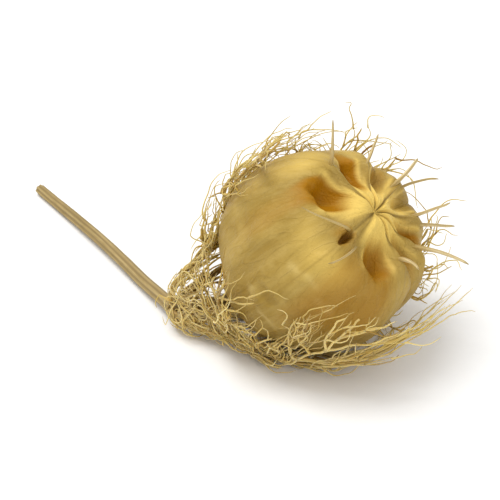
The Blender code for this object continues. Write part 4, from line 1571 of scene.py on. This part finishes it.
def soft_light(name, power, place_at, size):
    """A large square light aimed at the pod."""
    light = bpy.data.lights.new(name, "AREA")
    light.energy, light.size = power, size
    made = bpy.data.objects.new(name, light)
    made.location = place_at
    aim(made, LIGHT_AIM)
    bpy.context.scene.collection.objects.link(made)


class OBJECT_OT_stage(bpy.types.Operator):
    """Lays the pale floor, sets the soft lights and places the camera"""

    bl_idname = "seed_pod.stage"
    bl_label = "Stage"

    def execute(self, context):
        stage = context.scene.pod_stage
        scene = context.scene
        self.lay_floor(stage)
        soft_light("key_light", stage.key_power, *KEY_LIGHT)
        soft_light("fill_light", stage.fill_power, *FILL_LIGHT)
        world = bpy.data.worlds.new("soft_sky")
        world.use_nodes = True
        sky = world.node_tree.nodes["Background"]
        sky.inputs["Color"].default_value = (1.0, 1.0, 1.0, 1)
        sky.inputs["Strength"].default_value = stage.sky
        scene.world = world
        scene.view_settings.view_transform = "Standard"
        self.place_camera(scene, stage)
        return {"FINISHED"}

    @staticmethod
    def lay_floor(stage):
        """A wide plain floor just under the pod."""
        mesh = bpy.data.meshes.new("floor")
        corners = [(x * FLOOR_HALF, y * FLOOR_HALF, 0) for x, y in ((-1, -1), (1, -1), (1, 1), (-1, 1))]
        mesh.from_pydata(corners, [], [(0, 1, 2, 3)])
        floor = bpy.data.objects.new("floor", mesh)
        bpy.context.scene.collection.objects.link(floor)
        floor.location.z = -FLOOR_DROP
        made, tree, shader = new_material("pale_floor", roughness=0.7, specular=0.3)
        clouds = ranged(tree, noised(tree, place(tree), 0.8), 0.3, 0.7, 0.0, 0.06)
        fill(tree, shader, {"Base Color": mixed(tree, clouds, stage.floor_colour, FLOOR_SHADE)})
        mesh.materials.append(made)
        floor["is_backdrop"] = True

    @staticmethod
    def place_camera(scene, stage):
        """The camera at the photograph's viewing angle."""
        camera = bpy.data.cameras.new("camera")
        camera.lens = stage.lens
        camera.clip_start = CLIP_START
        made = bpy.data.objects.new("camera", camera)
        level, rise = math.cos(stage.elevation), math.sin(stage.elevation)
        towards = Vector((level * math.sin(stage.azimuth), -level * math.cos(stage.azimuth), rise))
        made.location = AIM + towards * stage.distance
        aim(made, AIM)
        scene.collection.objects.link(made)
        scene.camera = made


class VIEW3D_PT_seed_pod(bpy.types.Panel):
    """Lists the steps that dress the seed pod."""

    bl_label = "Seed pod"
    bl_space_type = "VIEW_3D"
    bl_region_type = "UI"
    bl_category = "Seed pod"

    def draw(self, context):
        for operator in OPERATORS:
            self.layout.operator(operator.bl_idname)


OPERATORS = (OBJECT_OT_capsule, OBJECT_OT_horns, OBJECT_OT_stem, OBJECT_OT_bracts, OBJECT_OT_stage)
GROUPS = {
    "seed_pod_looks": SeedPodLooks,
    "stem_looks": StemLooks,
    "bract_looks": BractLooks,
    "pod_stage": StageSettings,
}


def register():
    for kind in (*GROUPS.values(), *OPERATORS, VIEW3D_PT_seed_pod):
        bpy.utils.register_class(kind)
    for name, kind in GROUPS.items():
        setattr(bpy.types.Scene, name, bpy.props.PointerProperty(type=kind))


def unregister():
    for name in GROUPS:
        delattr(bpy.types.Scene, name)
    for kind in reversed((*GROUPS.values(), *OPERATORS, VIEW3D_PT_seed_pod)):
        bpy.utils.unregister_class(kind)


def main():
    register()
    bpy.ops.seed_pod.capsule()
    bpy.ops.seed_pod.horns()
    bpy.ops.seed_pod.stem()
    bpy.ops.seed_pod.bracts()
    bpy.ops.seed_pod.stage()
    boxes = {"cad": CAD_BOX, "visual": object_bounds()}
    boxes = {name: [list(corner) for corner in box] for name, box in boxes.items()}


if __name__ == "__main__":
    main()
